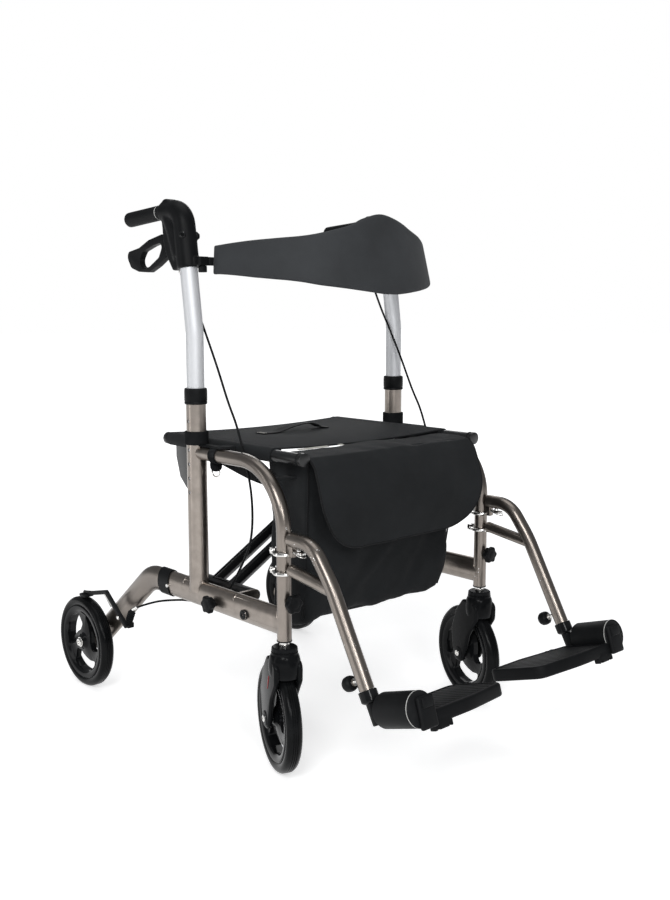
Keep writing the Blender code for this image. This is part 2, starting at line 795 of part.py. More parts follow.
def make_brake_lever(x, side):
    """Loop lever with the eye for its pin."""
    outer = [
        (0.1225, 0.9165), (0.135, 0.926), (0.1835, 0.917), (0.2175, 0.904), (0.256, 0.898),
        (0.259, 0.8865), (0.2465, 0.868), (0.2195, 0.860), (0.186, 0.858), (0.156, 0.869),
        (0.124, 0.885), (0.1165, 0.8985), (0.1055, 0.906), (0.1040, 0.915), (0.112, 0.922),
    ]
    inner = [
        (0.133, 0.912), (0.171, 0.906), (0.204, 0.897), (0.216, 0.883), (0.2145, 0.872), (0.2025, 0.865),
        (0.183, 0.868), (0.150, 0.884),
    ]
    loop = rounded(yz(0, inner), 0.008, 2, closed=True)
    window = [(point.y, point.z) for point in loop]
    lever = plate(outer, "YZ", x, LEVER_THICK, [window])
    low = (x - LEVER_THICK, *LEVER_PIVOT)
    high = (x + LEVER_THICK, *LEVER_PIVOT)
    return cut(lever, bore(low, high, LEVER_PIN_RADIUS + RUNNING))


def smooth_run(points, count):
    """Even points on a smooth curve through the given ones."""
    knots = [Vector(point) for point in points]
    knots = [2 * knots[0] - knots[1], *knots, 2 * knots[-1] - knots[-2]]
    fine = []
    for index in range(1, len(knots) - 2):
        before, start, end, after = knots[index - 1:index + 3]
        for step in range(20):
            t = step / 20
            fine.append(0.5 * (
                2 * start + (end - before) * t + (2 * before - 5 * start + 4 * end - after) * t ** 2
                + (3 * start - before - 3 * end + after) * t ** 3
            ))
    fine.append(knots[-2])
    lengths = [0.0]
    for first, second in zip(fine, fine[1:]):
        lengths.append(lengths[-1] + (second - first).length)
    run = []
    index = 0
    for step in range(count):
        target = lengths[-1] * step / (count - 1)
        while index < len(fine) - 2 and lengths[index + 1] < target:
            index += 1
        share = (target - lengths[index]) / (lengths[index + 1] - lengths[index])
        run.append(fine[index].lerp(fine[index + 1], share))
    return run


def make_brake_cable(x, side):
    """Cable from the head, inside the arch, under the rail and up to the brake housing."""
    cable_x = side * CABLE_X
    inner = [
        (0.0995, 0.8535), (0.088, 0.832), (0.066, 0.790), (0.0398, 0.746), (0.008, 0.690), (-0.0232, 0.630),
        (-0.047, 0.590), (-0.064, 0.550), (-0.078, 0.512), (-0.088, 0.470), (-0.090, 0.425), (-0.083, 0.386),
        (-0.064, 0.350), (-0.045, 0.322), (-0.022, 0.290), (0.005, 0.262), (0.040, 0.246), (0.080, 0.2425),
        (0.115, 0.239), (0.155, 0.231),
    ]
    points = yz(cable_x, inner)
    points.insert(0, (side * (FRAME_X - 0.008), 0.1005, 0.8620))
    points.append((side * 0.2410, 0.200, TYRE_TOP + 0.0220))
    points.append((side * 0.2500, 0.228, TYRE_TOP - 0.0030))
    points.append((side * 0.2530, 0.2437, TYRE_TOP - 0.0095))
    return tube(smooth_run(points, CABLE_STEPS), CABLE_RADIUS, 2)


# Backrest

def make_backrest_arm(x, side):
    """Bar from its pin in the head to the end of the pad, with a small catch below."""
    face = x - side * HEAD_THICK / 2
    y, z = BACKREST_PIVOT
    root = face - side * GAP
    end = side * (PAD_END_X - BACKREST_BAR_REACH)
    half = BACKREST_BAR_TALL / 2
    front = PAD_END_Y + GAP
    arm = box((root, front, z - half), (end, BACKREST_BAR_REAR, z + half))
    catch_low = (root, front + 0.001, z - half - 0.011)
    catch_high = (root - side * 0.005, BACKREST_BAR_REAR - 0.001, z)
    union(arm, box(catch_low, catch_high))
    return union(arm, rod((root, y, z), (face + side * 0.009, y, z), BACKREST_PIN_RADIUS, 12))


def pad_profile(share):
    """Lower and upper edge of the pad, from its end (0) to the middle (1)."""
    slope = min(share / 0.62, 1.0)
    peak = max(0.0, (share - 0.62) / 0.38)
    rise = peak * peak * (3 - 2 * peak)
    low = 0.8490 - 0.0230 * slope - 0.0145 * rise
    high = 0.9045 + 0.0175 * slope + 0.0385 * rise
    return low, high


def make_backrest_pad():
    """Padded band that bows forward, deepest in the middle."""
    columns = 20
    rows = 3
    bm = bmesh.new()
    bmesh.ops.create_grid(bm, x_segments=columns, y_segments=rows, size=1)
    for vert in bm.verts:
        angle = math.pi * (vert.co.x + 1) / 2
        level = (vert.co.y + 1) / 2
        low, high = pad_profile(1 - abs(vert.co.x))
        round_end = 0.004 if abs(vert.co.x) > 0.99 and abs(vert.co.y) > 0.99 else 0
        z = low + (high - low) * level - math.copysign(round_end, level - 0.5)
        share = min(min(angle, math.pi - angle) / PAD_LEAN_FULL, 1.0)
        out = (BACKREST_PIVOT[1] - z) * PAD_LEAN * share * share * (3 - 2 * share)
        vert.co = (
            -(PAD_HALF_WIDTH + out) * math.cos(angle), PAD_END_Y - (PAD_DEPTH + out) * math.sin(angle), z,
        )
    pad = from_bmesh(bm)
    shell = pad.modifiers.new("Thickness", "SOLIDIFY")
    shell.thickness = PAD_THICK
    shell.offset = 0
    return bevelled(pad, 0.006, 1, 50)


# Brake on the rear leg

def make_brake_housing(x, side):
    """Bracket on the outer face of the leg, with the spring box in front of it and the arm's pin."""
    outer = side * (FRAME_X + RAIL_WIDE / 2)
    middle = outer + side * (GAP + HOUSING_PLATE_THICK / 2)
    outline = link_outline((0.262, TYRE_TOP - 0.018), (0.305, TYRE_TOP + 0.008), 0.017, 5)
    housing = plate(outline, "YZ", middle, HOUSING_PLATE_THICK)
    low = (side * (FRAME_X - 0.010), 0.245, TYRE_TOP - 0.032)
    high = (outer + side * HOUSING_PLATE_THICK, 0.272, TYRE_TOP + 0.002)
    union(housing, box(low, high, 0.003))
    pin_end = side * (REAR_WHEEL_X + BRAKE_ARM_THICK / 2 + 0.002)
    union(housing, rod((middle, *BRAKE_PIVOT), (pin_end, *BRAKE_PIVOT), BRAKE_PIN_RADIUS, 12))
    return cut(housing, leg_solid(x, GAP))


def make_brake_arm(x, side):
    """Bent bar with the shoe that presses on the tyre."""
    hub_y = REAR_AXLE_Y
    hub_z = WHEEL_RADIUS
    contact = WHEEL_RADIUS + BRAKE_SHOE_GAP + 0.001
    shoe = []
    for degrees in (84, 92, 100, 107):
        angle = math.radians(degrees)
        shoe.append((hub_y + contact * math.cos(angle), hub_z + contact * math.sin(angle)))
    back = [(0.4340, TYRE_TOP + 0.0105), (0.4010, TYRE_TOP + 0.0175)]
    outline = [
        (0.2610, TYRE_TOP - 0.0340), (0.2730, TYRE_TOP - 0.0260), (0.3105, TYRE_TOP - 0.0010),
        (0.3400, TYRE_TOP + 0.0210), *reversed(shoe), *back, (0.3370, TYRE_TOP + 0.0325),
        (0.3060, TYRE_TOP + 0.0180), (0.2700, TYRE_TOP - 0.0010), (0.2570, TYRE_TOP - 0.0200),
    ]
    middle = side * REAR_WHEEL_X
    arm = plate(outline, "YZ", middle, BRAKE_ARM_THICK)
    union(arm, plate([*reversed(shoe), *back], "YZ", middle, BRAKE_SHOE_WIDE))
    reach = BRAKE_ARM_THICK
    low = (middle - reach, *BRAKE_PIVOT)
    high = (middle + reach, *BRAKE_PIVOT)
    return cut(arm, bore(low, high, BRAKE_PIN_RADIUS + RUNNING, 12))


# Footrest

def hanger_path(x):
    """Centre line of the hanger, from the upright forward and down."""
    corners = [(UPRIGHT_Y - 0.006, HANGER_TOP_Z), (HANGER_BEND_Y, HANGER_TOP_Z), HANGER_KNEE, HANGER_END]
    return rounded(yz(x, corners), [0, 0.075, 0.25, 0], 3)


def along_hanger(x, distance, aside=0.0):
    """Point on the straight lower part, measured up from its end, and to its rear side."""
    rear = Vector((0, -HANGER_LINE.z, HANGER_LINE.y))
    return Vector((x, *HANGER_END)) - HANGER_LINE * distance + rear * aside


def make_hanger(x, side):
    """Bent tube and strut with two rings round the upright."""
    hanger = tube(hanger_path(x), HANGER_RADIUS)
    strut_end = along_hanger(x, STRUT_UP)
    union(hanger, rod((x, UPRIGHT_Y - 0.006, STRUT_Z), strut_end, STRUT_RADIUS, 12))
    for ring_z, tube_z in ((RING_UPPER_Z, HANGER_TOP_Z), (RING_LOWER_Z, STRUT_Z)):
        half = RING_TALL / 2
        ring = rod((x, UPRIGHT_Y, ring_z - half), (x, UPRIGHT_Y, ring_z + half), RING_RADIUS)
        union(hanger, ring)
        front = UPRIGHT_Y - RING_RADIUS
        union(hanger, box((x - 0.005, front - 0.008, ring_z - half), (x + 0.005, front + 0.004, tube_z)))
    clear = ARCH_RADIUS + RUNNING
    cut(hanger, bore((x, UPRIGHT_Y, 0.30), (x, UPRIGHT_Y, 0.46), clear))
    depth = SLIDER_INSERT + 0.005
    cut(hanger, bore(along_hanger(x, -0.01), along_hanger(x, depth), SLIDER_RADIUS + RUNNING, 12))
    for index in range(HANGER_HOLE_COUNT):
        distance = HANGER_HOLE_FIRST + HANGER_HOLE_PITCH * index
        outer = along_hanger(x, distance, HANGER_RADIUS + 0.004)
        cut(hanger, rod(along_hanger(x, distance, SLIDER_RADIUS * 0.8), outer, HANGER_HOLE_RADIUS, 6))
    inside = along_hanger(x, KNOB_UP, SLIDER_RADIUS * 0.8)
    beyond = along_hanger(x, KNOB_UP, SLIDER_RADIUS * 2)
    return cut(hanger, bore(inside, beyond, KNOB_STEM_RADIUS + GAP, 8))


def barrel_frame(x):
    """Rear end of the hinge, its direction forward, and the direction square to it and up."""
    forward = Vector((0, -math.cos(BARREL_TILT), math.sin(BARREL_TILT)))
    up = Vector((0, math.sin(BARREL_TILT), math.cos(BARREL_TILT)))
    return Vector((x, *BARREL_REAR)), forward, up


def make_slider(x, side):
    """Inner tube with shoulder, lug, and the rod on which the footplate turns."""
    rear, forward, up = barrel_frame(x)
    end = Vector((x, *HANGER_END))
    lug_middle = rear - forward * HINGE_LUG_THICK / 2
    slider = rod(end - HANGER_LINE * SLIDER_INSERT, end + HANGER_LINE * SLIDER_DROP, SLIDER_RADIUS, 12)
    shoulder = rod(end + HANGER_LINE * GAP, end + HANGER_LINE * SHOULDER_LENGTH, SHOULDER_RADIUS, 12)
    union(slider, shoulder)
    union(slider, rod(rear - forward * HINGE_LUG_THICK, rear - forward * RUNNING, HINGE_LUG_RADIUS, 12))
    head = rear + forward * PIN_HEAD_PLACE
    union(slider, rod(lug_middle, head + forward * 0.001, HINGE_ROD_RADIUS, 12))
    return union(slider, rod(head, head + forward * PIN_HEAD_LENGTH, PIN_HEAD_RADIUS, 12))


def make_footplate(x, side):
    """Plate with the drum that turns on the hinge rod."""
    rear, forward, up = barrel_frame(x)
    drum = bevelled(rod(rear, rear + forward * BARREL_LENGTH, BARREL_RADIUS, 20), 0.003, 1, 60)
    notch = HINGE_LUG_RADIUS + 0.0015
    corners = [
        (0.0, PLATE_FRONT), (0.0, 0.001), (notch, 0.001), (notch + 0.002, -0.012), (0.120, -0.0405),
        (PLATE_REACH, -0.0425), (PLATE_REACH, PLATE_FRONT - 0.015), (0.110, PLATE_FRONT + 0.001),
    ]
    radii = [0.004, 0, 0, 0.004, 0.03, 0.014, 0.016, 0.2]
    outline = rounded([(a, b, 0) for a, b in corners], radii, 3, closed=True)
    slab = plate([(p.x, p.y) for p in outline], "XY", 0, PLATE_THICK)
    inward = Vector((-side, 0, 0))
    turn = Matrix((inward, forward, up)).transposed().to_4x4()
    centre = rear - up * (PLATE_DROP + PLATE_THICK / 2)
    slab.data.transform(Matrix.Translation(centre) @ turn)
    if turn.determinant() < 0:
        slab.data.flip_normals()
    union(drum, slab)
    front = rear + forward * BARREL_LENGTH
    union(drum, rod(front - forward * 0.001, front + forward * PLUG_LENGTH, PLUG_RADIUS, 16))
    return cut(drum, bore(rear - forward * 0.02, rear + forward * 0.12, HINGE_ROD_RADIUS + GAP, 12))


def make_plunger(x, side):
    """Pull knob on its stem at the lower end of the hanger."""
    foot = along_hanger(x, KNOB_UP, SLIDER_RADIUS + RUNNING)
    axis = along_hanger(x, KNOB_UP, 1.0) - along_hanger(x, KNOB_UP, 0.0)
    stem = KNOB_STEM_LENGTH
    top = stem + KNOB_TALL
    profile = [
        (0, top), (KNOB_RADIUS - 0.004, top), (KNOB_RADIUS, top - 0.005), (KNOB_RADIUS, stem + 0.003),
        (KNOB_RADIUS - 0.004, stem), (KNOB_STEM_RADIUS, stem), (KNOB_STEM_RADIUS, 0), (0, 0),
    ]
    return turned(profile, foot, axis, 12, closed=False)


def make_latch(x, side):
    """Small catch that hangs under the hanger's top tube."""
    top = HANGER_TOP_Z - HANGER_RADIUS - RUNNING
    latch = rod((x, LATCH_Y, top - 0.010), (x, LATCH_Y, top), LATCH_RADIUS, 8)
    tab_low = (x - 0.006, LATCH_Y - 0.012, top - 0.009)
    tab_high = (x + 0.006, LATCH_Y + 0.010, top - 0.004)
    return union(latch, box(tab_low, tab_high, 0.001))


def make_star_knob(face, direction):
    """Clamping knob with a lobed rim, standing on a face by its stem."""
    direction = Vector(direction)
    foot = Vector(face) + direction * GAP
    points = []
    for step in range(STAR_POINTS * 2):
        radius = STAR_RADIUS if step % 2 == 0 else STAR_RADIUS * STAR_DIP
        angle = math.pi * step / STAR_POINTS
        points.append((radius * math.cos(angle), radius * math.sin(angle)))
    head = plate(points, "XY", STAR_STEM_LENGTH + STAR_THICK / 2, STAR_THICK)
    turn = direction.to_track_quat("Z", "Y").to_matrix().to_4x4()
    head.data.transform(Matrix.Translation(foot) @ turn)
    return union(head, rod(foot, foot + direction * (STAR_STEM_LENGTH + 0.002), STAR_STEM_RADIUS, 12))


# Scissor and seat

def make_brace(side, tube_ys, radius):
    """Diagonal tubes from the lower pivot on this side to the seat rail on the other."""
    low = (side * PIVOT_X, PIVOT_Z)
    high = (-side * PIVOT_X, SEAT_RAIL_Z)
    rail = rod((high[0], SEAT_RAIL_FRONT, high[1]), (high[0], SEAT_RAIL_REAR, high[1]), SEAT_RAIL_RADIUS)
    for cap_y, way in ((SEAT_RAIL_FRONT, -1), (SEAT_RAIL_REAR, 1)):
        end = (high[0], cap_y + way * SEAT_CAP_LENGTH, high[1])
        union(rail, rod((high[0], cap_y - way * 0.002, high[1]), end, SEAT_CAP_RADIUS))
    front = LUG_FRONT + LUG_THICK / 2 + RUNNING
    rear = LUG_REAR - LUG_THICK / 2 - RUNNING
    union(rail, rod((low[0], front, low[1]), (low[0], rear, low[1]), PIVOT_TUBE_RADIUS))
    for y in tube_ys:
        union(rail, rod((low[0], y, low[1]), (high[0], y, high[1]), radius, 12))
    outline = [
        (END_PLATE_FRONT, SEAT_RAIL_Z), (END_PLATE_REAR, SEAT_RAIL_Z), (END_PLATE_REAR, 0.510),
        (0.156, 0.472), (0.134, 0.452), (END_PLATE_FRONT, END_PLATE_LOW),
    ]
    union(rail, plate(outline, "YZ", high[0], END_PLATE_THICK))
    pin_front = (low[0], LUG_FRONT, low[1])
    pin_rear = (low[0], LUG_REAR, low[1])
    return cut(rail, bore(pin_front, pin_rear, PIVOT_PIN_RADIUS + RUNNING))


def cross_middle():
    """Height of the pin where the scissor crosses."""
    return (PIVOT_Z + SEAT_RAIL_Z) / 2


def make_brace_a():
    """Outer pair of diagonals, with the middle pin."""
    brace = make_brace(-1, BRACE_A_YS, BRACE_A_RADIUS)
    z = cross_middle()
    front = min(BRACE_A_YS) - BRACE_A_RADIUS - 0.003
    rear = max(BRACE_A_YS) + BRACE_A_RADIUS + 0.003
    return union(brace, rod((0, front, z), (0, rear, z), PIVOT_PIN_RADIUS, 12))


def make_brace_b():
    """Middle diagonal, with the hole for the pin."""
    brace = make_brace(1, (BRACE_B_Y,), BRACE_B_RADIUS)
    z = cross_middle()
    return cut(brace, bore((0, -0.05, z), (0, 0.10, z), PIVOT_PIN_RADIUS + RUNNING, 12))


def make_seat():
    """Seat cloth, sagging a little between the sleeves on the two seat rails."""
    steps = 6
    outer = SLEEVE_RADIUS
    outline = []
    for step in range(7):
        angle = math.radians(90 - 240 * step / 6)
        outline.append((PIVOT_X + outer * math.cos(angle), SEAT_RAIL_Z + outer * math.sin(angle)))
    start = outline[-1]
    for step in range(steps + 1):
        share = 1 - 2 * step / steps
        sag = SEAT_SAG * (1 - share * share)
        x = share * (PIVOT_X - outer - 0.004)
        outline.append((x, SEAT_RAIL_Z + outer - SEAT_THICK - 0.002 - sag))
    for step in range(7):
        angle = math.radians(330 - 240 * step / 6)
        outline.append((-PIVOT_X + outer * math.cos(angle), SEAT_RAIL_Z + outer * math.sin(angle)))
    for step in range(1, steps):
        share = 1 - 2 * step / steps
        sag = SEAT_SAG * (1 - share * share)
        outline.append((-share * PIVOT_X, SEAT_RAIL_Z + outer - sag))
    hole = outside(SEAT_RAIL_RADIUS + GAP, ROD_SIDES)
    holes = []
    for side in (-1, 1):
        circle = []
        for step in range(ROD_SIDES):
            angle = 2 * math.pi * step / ROD_SIDES
            circle.append((side * PIVOT_X + hole * math.cos(angle), SEAT_RAIL_Z + hole * math.sin(angle)))
        holes.append(circle)
    seat = plate(outline, "XZ", (SEAT_FRONT + SEAT_REAR) / 2, SEAT_REAR - SEAT_FRONT, holes)
    slot = END_PLATE_THICK / 2 + RUNNING
    for side, tube_ys, radius in ((1, BRACE_A_YS, BRACE_A_RADIUS), (-1, (BRACE_B_Y,), BRACE_B_RADIUS)):
        x = side * PIVOT_X
        for y in tube_ys:
            cut(seat, bore((-x, y, PIVOT_Z), (x, y, SEAT_RAIL_Z), radius + RUNNING))
        low = (x - slot, END_PLATE_FRONT - RUNNING, END_PLATE_LOW)
        cut(seat, box(low, (x + slot, END_PLATE_REAR + RUNNING, SEAT_RAIL_Z)))
    return seat


# Bag

def bag_ring(level):
    """Half width, front and rear of the bag at a level from its bottom (0) to its top (1)."""
    half = BAG_BOTTOM_X + (BAG_TOP_X - BAG_BOTTOM_X) * level
    front = BAG_BOTTOM_FRONT + (BAG_TOP_FRONT - BAG_BOTTOM_FRONT) * level ** 0.7
    rear = BAG_BOTTOM_REAR + (BAG_TOP_REAR - BAG_BOTTOM_REAR) * level
    return half, front, rear


def bag_outline(level, inset):
    """Rounded rectangle of the bag at a level."""
    half, front, rear = bag_ring(level)
    half -= inset
    front += inset
    rear -= inset
    z = BAG_BOTTOM_Z + (BAG_TOP_Z - BAG_BOTTOM_Z) * level
    bow = 0.012 * math.sin(math.pi * level)
    rear_z = z - BAG_REAR_DROP * level
    belly = half * 0.4
    corners = [
        (-half, front, z), (-belly, front - bow, z), (belly, front - bow, z), (half, front, z),
        (half, rear, rear_z), (-half, rear, rear_z),
    ]
    return rounded(corners, [0.02, 0.05, 0.05, 0.02, 0.012, 0.012], 2, closed=True)


def make_bag():
    """Open cloth bag: walls lofted through rounded rings, with a floor and two hanging tabs."""
    levels = (0, 0.06, 0.35, 0.7, 1)
    bm = bmesh.new()
    rings = []
    for level in levels:
        inset = 0.012 if level == 0 else 0
        rings.append([bm.verts.new(point) for point in bag_outline(level, inset)])
    for lower, upper in zip(rings, rings[1:]):
        for index in range(len(lower)):
            after = (index + 1) % len(lower)
            bm.faces.new((lower[index], lower[after], upper[after], upper[index]))
    bm.faces.new(rings[0])
    bmesh.ops.recalc_face_normals(bm, faces=bm.faces)
    shell = from_bmesh(bm)
    thickness = shell.modifiers.new("Thickness", "SOLIDIFY")
    thickness.thickness = BAG_WALL
    thickness.offset = -1
    bag = solid_from(shell)
    for side in (-1, 1):
        inner = side * (BAG_TOP_X - 0.002)
        outer = side * (FRAME_X - ARCH_RADIUS - GAP)
        union(bag, box((inner, BAG_TAB_Y - 0.012, 0.504), (outer, BAG_TAB_Y + 0.012, 0.508)))
    return bag


def make_bag_flap():
    """Cloth lid: a flat top and a front drop that bellies out, cut to its outline."""
    rows = 12
    columns = 8
    bm = bmesh.new()
    bmesh.ops.create_grid(bm, x_segments=columns, y_segments=rows, size=1)
    for vert in bm.verts:
        row = round((1 - vert.co.y) / 2 * rows)
        x = vert.co.x * FLAP_X
        if row <= 2:
            y = FLAP_REAR + (FLAP_FRONT + 0.010 - FLAP_REAR) * row / 2
            z = FLAP_TOP_Z
        else:
            share = (row - 3) / (rows - 3)
            level = FLAP_TOP_Z - 0.008 - (FLAP_TOP_Z - 0.008 - FLAP_BOTTOM_Z) * share
            y = FLAP_FRONT - FLAP_BULGE * math.sin(math.pi * min(share * 0.75, 1))
            z = level
            edge = max(0.0, FLAP_BOTTOM_Z + FLAP_CORNER - z)
            if edge > 0:
                x = vert.co.x * (FLAP_X - FLAP_CORNER + math.sqrt(max(0.0, FLAP_CORNER ** 2 - edge ** 2)))
        vert.co = (x, y, z)
    bmesh.ops.recalc_face_normals(bm, faces=bm.faces)
    flap = from_bmesh(bm)
    thickness = flap.modifiers.new("Thickness", "SOLIDIFY")
    thickness.thickness = FLAP_THICK
    thickness.offset = 0
    return solid_from(flap)


# Assembly

def build_side(name, side):
    """Make one side of the rollator and hang its moving pieces on their joints."""
    x = side * FRAME_X
    metal = MATERIALS["frame"]
    silver = MATERIALS["silver"]
    black = MATERIALS["black"]
    rubber = MATERIALS["tyre"]
    steel = MATERIALS["steel"]

    def piece(maker, label, material, origin):
        return finish(maker(x, side), f"{label}_{name}", material, origin)

    def joint(label, location):
        return joint_empty(f"joint_{label}_{name}", location)

    frame = [
        piece(make_rail, "rail", metal, (x, UPRIGHT_Y, RAIL_Z)),
        piece(make_post, "post", metal, (x, POST_Y, RAIL_Z)),
        piece(make_front_arch, "front_arch", metal, (x, UPRIGHT_Y, UPRIGHT_BOTTOM)),
        piece(make_post_collar, "post_collar", black, (x, POST_Y, COLLAR_LOW)),
        piece(make_seat_rest, "seat_rest", black, (x, POST_Y, REST_BAND_LOW)),
        piece(make_rear_leg, "rear_leg", metal, (x, REAR_AXLE_Y, WHEEL_RADIUS)),
        piece(make_leg_collar, "rear_leg_collar", black, (x, RAIL_REAR, RAIL_Z)),
        piece(make_brake_housing, "brake_housing", black, (x, *BRAKE_PIVOT)),
        piece(make_brake_cable, "brake_cable", black, (side * CABLE_X, POST_Y, POST_TOP)),
    ]
    hang(frame, joint("frame", (side * PIVOT_X, 0, PIVOT_Z)))

    rear_hub = (side * REAR_WHEEL_X, REAR_AXLE_Y, WHEEL_RADIUS)
    rear_wheel = [
        finish(make_tyre(rear_hub), f"rear_tyre_{name}", rubber, rear_hub),
        finish(make_rim(rear_hub, REAR_AXLE_RADIUS), f"rear_rim_{name}", black, rear_hub),
    ]
    hang(rear_wheel, joint("rear_wheel", rear_hub))

    straight = caster_hub(x)
    turn = CASTER_TURNS[side]
    hub = (x + CASTER_TRAIL * math.sin(turn), UPRIGHT_Y + CASTER_TRAIL * math.cos(turn), WHEEL_RADIUS)
    fork = piece(make_caster_fork, "caster_fork", black, (x, UPRIGHT_Y, UPRIGHT_BOTTOM))
    hang([fork], joint("caster_swivel", (x, UPRIGHT_Y, UPRIGHT_BOTTOM)))
    caster = [
        finish(swivelled(make_tyre(straight), side), f"caster_tyre_{name}", rubber, hub),
        finish(swivelled(make_rim(straight, CASTER_AXLE_RADIUS), side), f"caster_rim_{name}", black, hub),
    ]
    hang(caster, joint("caster_wheel", hub))

    handle = handle_solid(x, HANDLE_RADIUS, HANDLE_BOTTOM, HANDLE_TOP)
    handle_pieces = [
        finish(handle, f"handle_tube_{name}", silver, (x, POST_Y, HANDLE_BOTTOM)),
        piece(make_handle_head, "handle_head", black, (x, *LEVER_PIVOT)),
        piece(make_grip, "grip", black, (x, *GRIP_START)),
    ]
    hang(handle_pieces, joint("handle_height", (x, POST_Y, COLLAR_TOP)))
    lever_axis = (x, *LEVER_PIVOT)
    hang([piece(make_brake_lever, "brake_lever", black, lever_axis)], joint("lever", lever_axis))
    brake_axis = (side * REAR_WHEEL_X, *BRAKE_PIVOT)
    hang([piece(make_brake_arm, "brake_arm", black, brake_axis)], joint("brake", brake_axis))
    flip_axis = (x, *BACKREST_PIVOT)
    hang([piece(make_backrest_arm, "backrest_arm", black, flip_axis)], joint("backrest", flip_axis))

    swing = (x, UPRIGHT_Y, RING_LOWER_Z)
    hang([piece(make_hanger, "footrest_hanger", metal, swing)], joint("swing", swing))
    slide = (x, *HANGER_END)
    hang([piece(make_slider, "footrest_slider", black, slide)], joint("slide", slide))
    hinge = (x, *BARREL_REAR)
    hang([piece(make_footplate, "footplate", black, hinge)], joint("footplate", hinge))
    knob = tuple(along_hanger(x, KNOB_UP))
    hang([piece(make_plunger, "footrest_knob", black, knob)], joint("knob", knob))
    catch = (x, LATCH_Y, RING_UPPER_Z)
    hang([piece(make_latch, "swing_latch", steel, catch)], joint("latch", catch))

    rail_face = (x + side * RAIL_WIDE / 2, RAIL_KNOB_Y, RAIL_Z - 0.005)
    rail_knob = finish(make_star_knob(rail_face, (side, 0, 0)), f"rail_knob_{name}", black, rail_face)
    hang([rail_knob], joint("rail_knob", rail_face))
    front_face = (x, UPRIGHT_Y - ARCH_RADIUS, FRONT_KNOB_Z)
    front_knob = finish(make_star_knob(front_face, (0, -1, 0)), f"front_knob_{name}", black, front_face)
    hang([front_knob], joint("front_knob", front_face))


def build_middle():
    """Make what joins the two sides."""
    metal = MATERIALS["dark"]
    cloth = MATERIALS["cloth"]
    brace_a = finish(make_brace_a(), "brace_a", metal, (-PIVOT_X, 0, PIVOT_Z))
    hang([brace_a], joint_empty("joint_fold", (-PIVOT_X, 0, PIVOT_Z)))
    brace_b = finish(make_brace_b(), "brace_b", metal, (0, 0, cross_middle()))
    hang([brace_b], joint_empty("joint_cross", (0, 0, cross_middle())))
    finish(make_seat(), "seat", cloth, (0, 0, SEAT_RAIL_Z))
    finish(make_bag(), "bag", cloth, (0, BAG_TOP_REAR, BAG_TOP_Z))
    flap_axis = (0, FLAP_REAR, FLAP_TOP_Z)
    flap = finish(make_bag_flap(), "bag_flap", cloth, flap_axis)
    hang([flap], joint_empty("joint_bag_flap", flap_axis))
    finish(make_backrest_pad(), "backrest_pad", MATERIALS["pad"], (0, *BACKREST_PIVOT))


clear_scene()
PARTS = new_collection("rollator")
MATERIALS = {
    "frame": new_material("champagne_paint", (0.30, 0.26, 0.225), 0.32, 0.75),
    "silver": new_material("silver_tube", (0.72, 0.73, 0.75), 0.28, 0.9),
    "steel": new_material("plated_steel", (0.70, 0.70, 0.70), 0.2, 1.0),
    "black": new_material("black_plastic", (0.012, 0.013, 0.014), 0.38, 0.0),
    "tyre": new_material("black_tyre", (0.010, 0.011, 0.012), 0.3, 0.0),
    "dark": new_material("black_tube", (0.010, 0.011, 0.012), 0.35, 0.4),
    "cloth": new_material("black_cloth", (0.018, 0.020, 0.022), 0.85, 0.0),
    "pad": new_material("charcoal_cloth", (0.030, 0.033, 0.036), 0.8, 0.0),
}
for side_name, side_sign in SIDES:
    build_side(side_name, side_sign)
build_middle()
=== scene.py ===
"""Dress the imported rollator: metals, plastics, wheels, seat, bag, backrest and stage.

Metres, +Z up. X runs across, -X on the pusher's right. -Y is the front and +Y the rear.
"""

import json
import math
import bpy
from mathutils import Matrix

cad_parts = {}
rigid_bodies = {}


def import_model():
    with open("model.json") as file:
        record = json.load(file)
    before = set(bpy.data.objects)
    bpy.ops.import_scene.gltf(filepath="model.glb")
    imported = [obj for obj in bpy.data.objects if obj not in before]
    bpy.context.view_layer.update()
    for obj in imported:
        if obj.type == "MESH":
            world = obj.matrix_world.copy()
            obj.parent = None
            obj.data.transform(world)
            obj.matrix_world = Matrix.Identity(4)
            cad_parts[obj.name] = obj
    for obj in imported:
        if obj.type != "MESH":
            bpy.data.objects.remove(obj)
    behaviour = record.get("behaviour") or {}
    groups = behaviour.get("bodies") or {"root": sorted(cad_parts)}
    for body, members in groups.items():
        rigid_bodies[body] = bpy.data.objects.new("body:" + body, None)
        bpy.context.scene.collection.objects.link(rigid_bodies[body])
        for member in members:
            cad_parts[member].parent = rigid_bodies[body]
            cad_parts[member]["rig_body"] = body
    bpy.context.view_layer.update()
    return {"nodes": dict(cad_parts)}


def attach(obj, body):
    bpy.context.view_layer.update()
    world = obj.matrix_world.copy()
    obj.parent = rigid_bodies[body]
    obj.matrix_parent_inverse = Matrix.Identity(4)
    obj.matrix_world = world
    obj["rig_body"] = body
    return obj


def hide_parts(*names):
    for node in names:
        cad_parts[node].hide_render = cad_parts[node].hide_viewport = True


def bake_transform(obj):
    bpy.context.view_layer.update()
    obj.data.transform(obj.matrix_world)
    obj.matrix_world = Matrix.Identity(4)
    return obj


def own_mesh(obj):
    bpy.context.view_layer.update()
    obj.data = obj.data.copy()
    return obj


bl_info = {
    "name": "Rollator dressing",
    "version": (1, 0, 0),
    "blender": (4, 5, 0),
    "location": "3D View > Sidebar > Rollator",
    "description": "Models and paints the visible pieces of a rollator round its packed frame",
    "category": "Object",
}

import bmesh
import bpy
from bpy.props import FloatProperty, FloatVectorProperty, IntProperty, PointerProperty
from mathutils import Matrix, Vector

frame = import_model()
NODES = frame["nodes"]
SIDES = (("right", -1), ("left", 1))

UPWARD = (0, 0, 1)

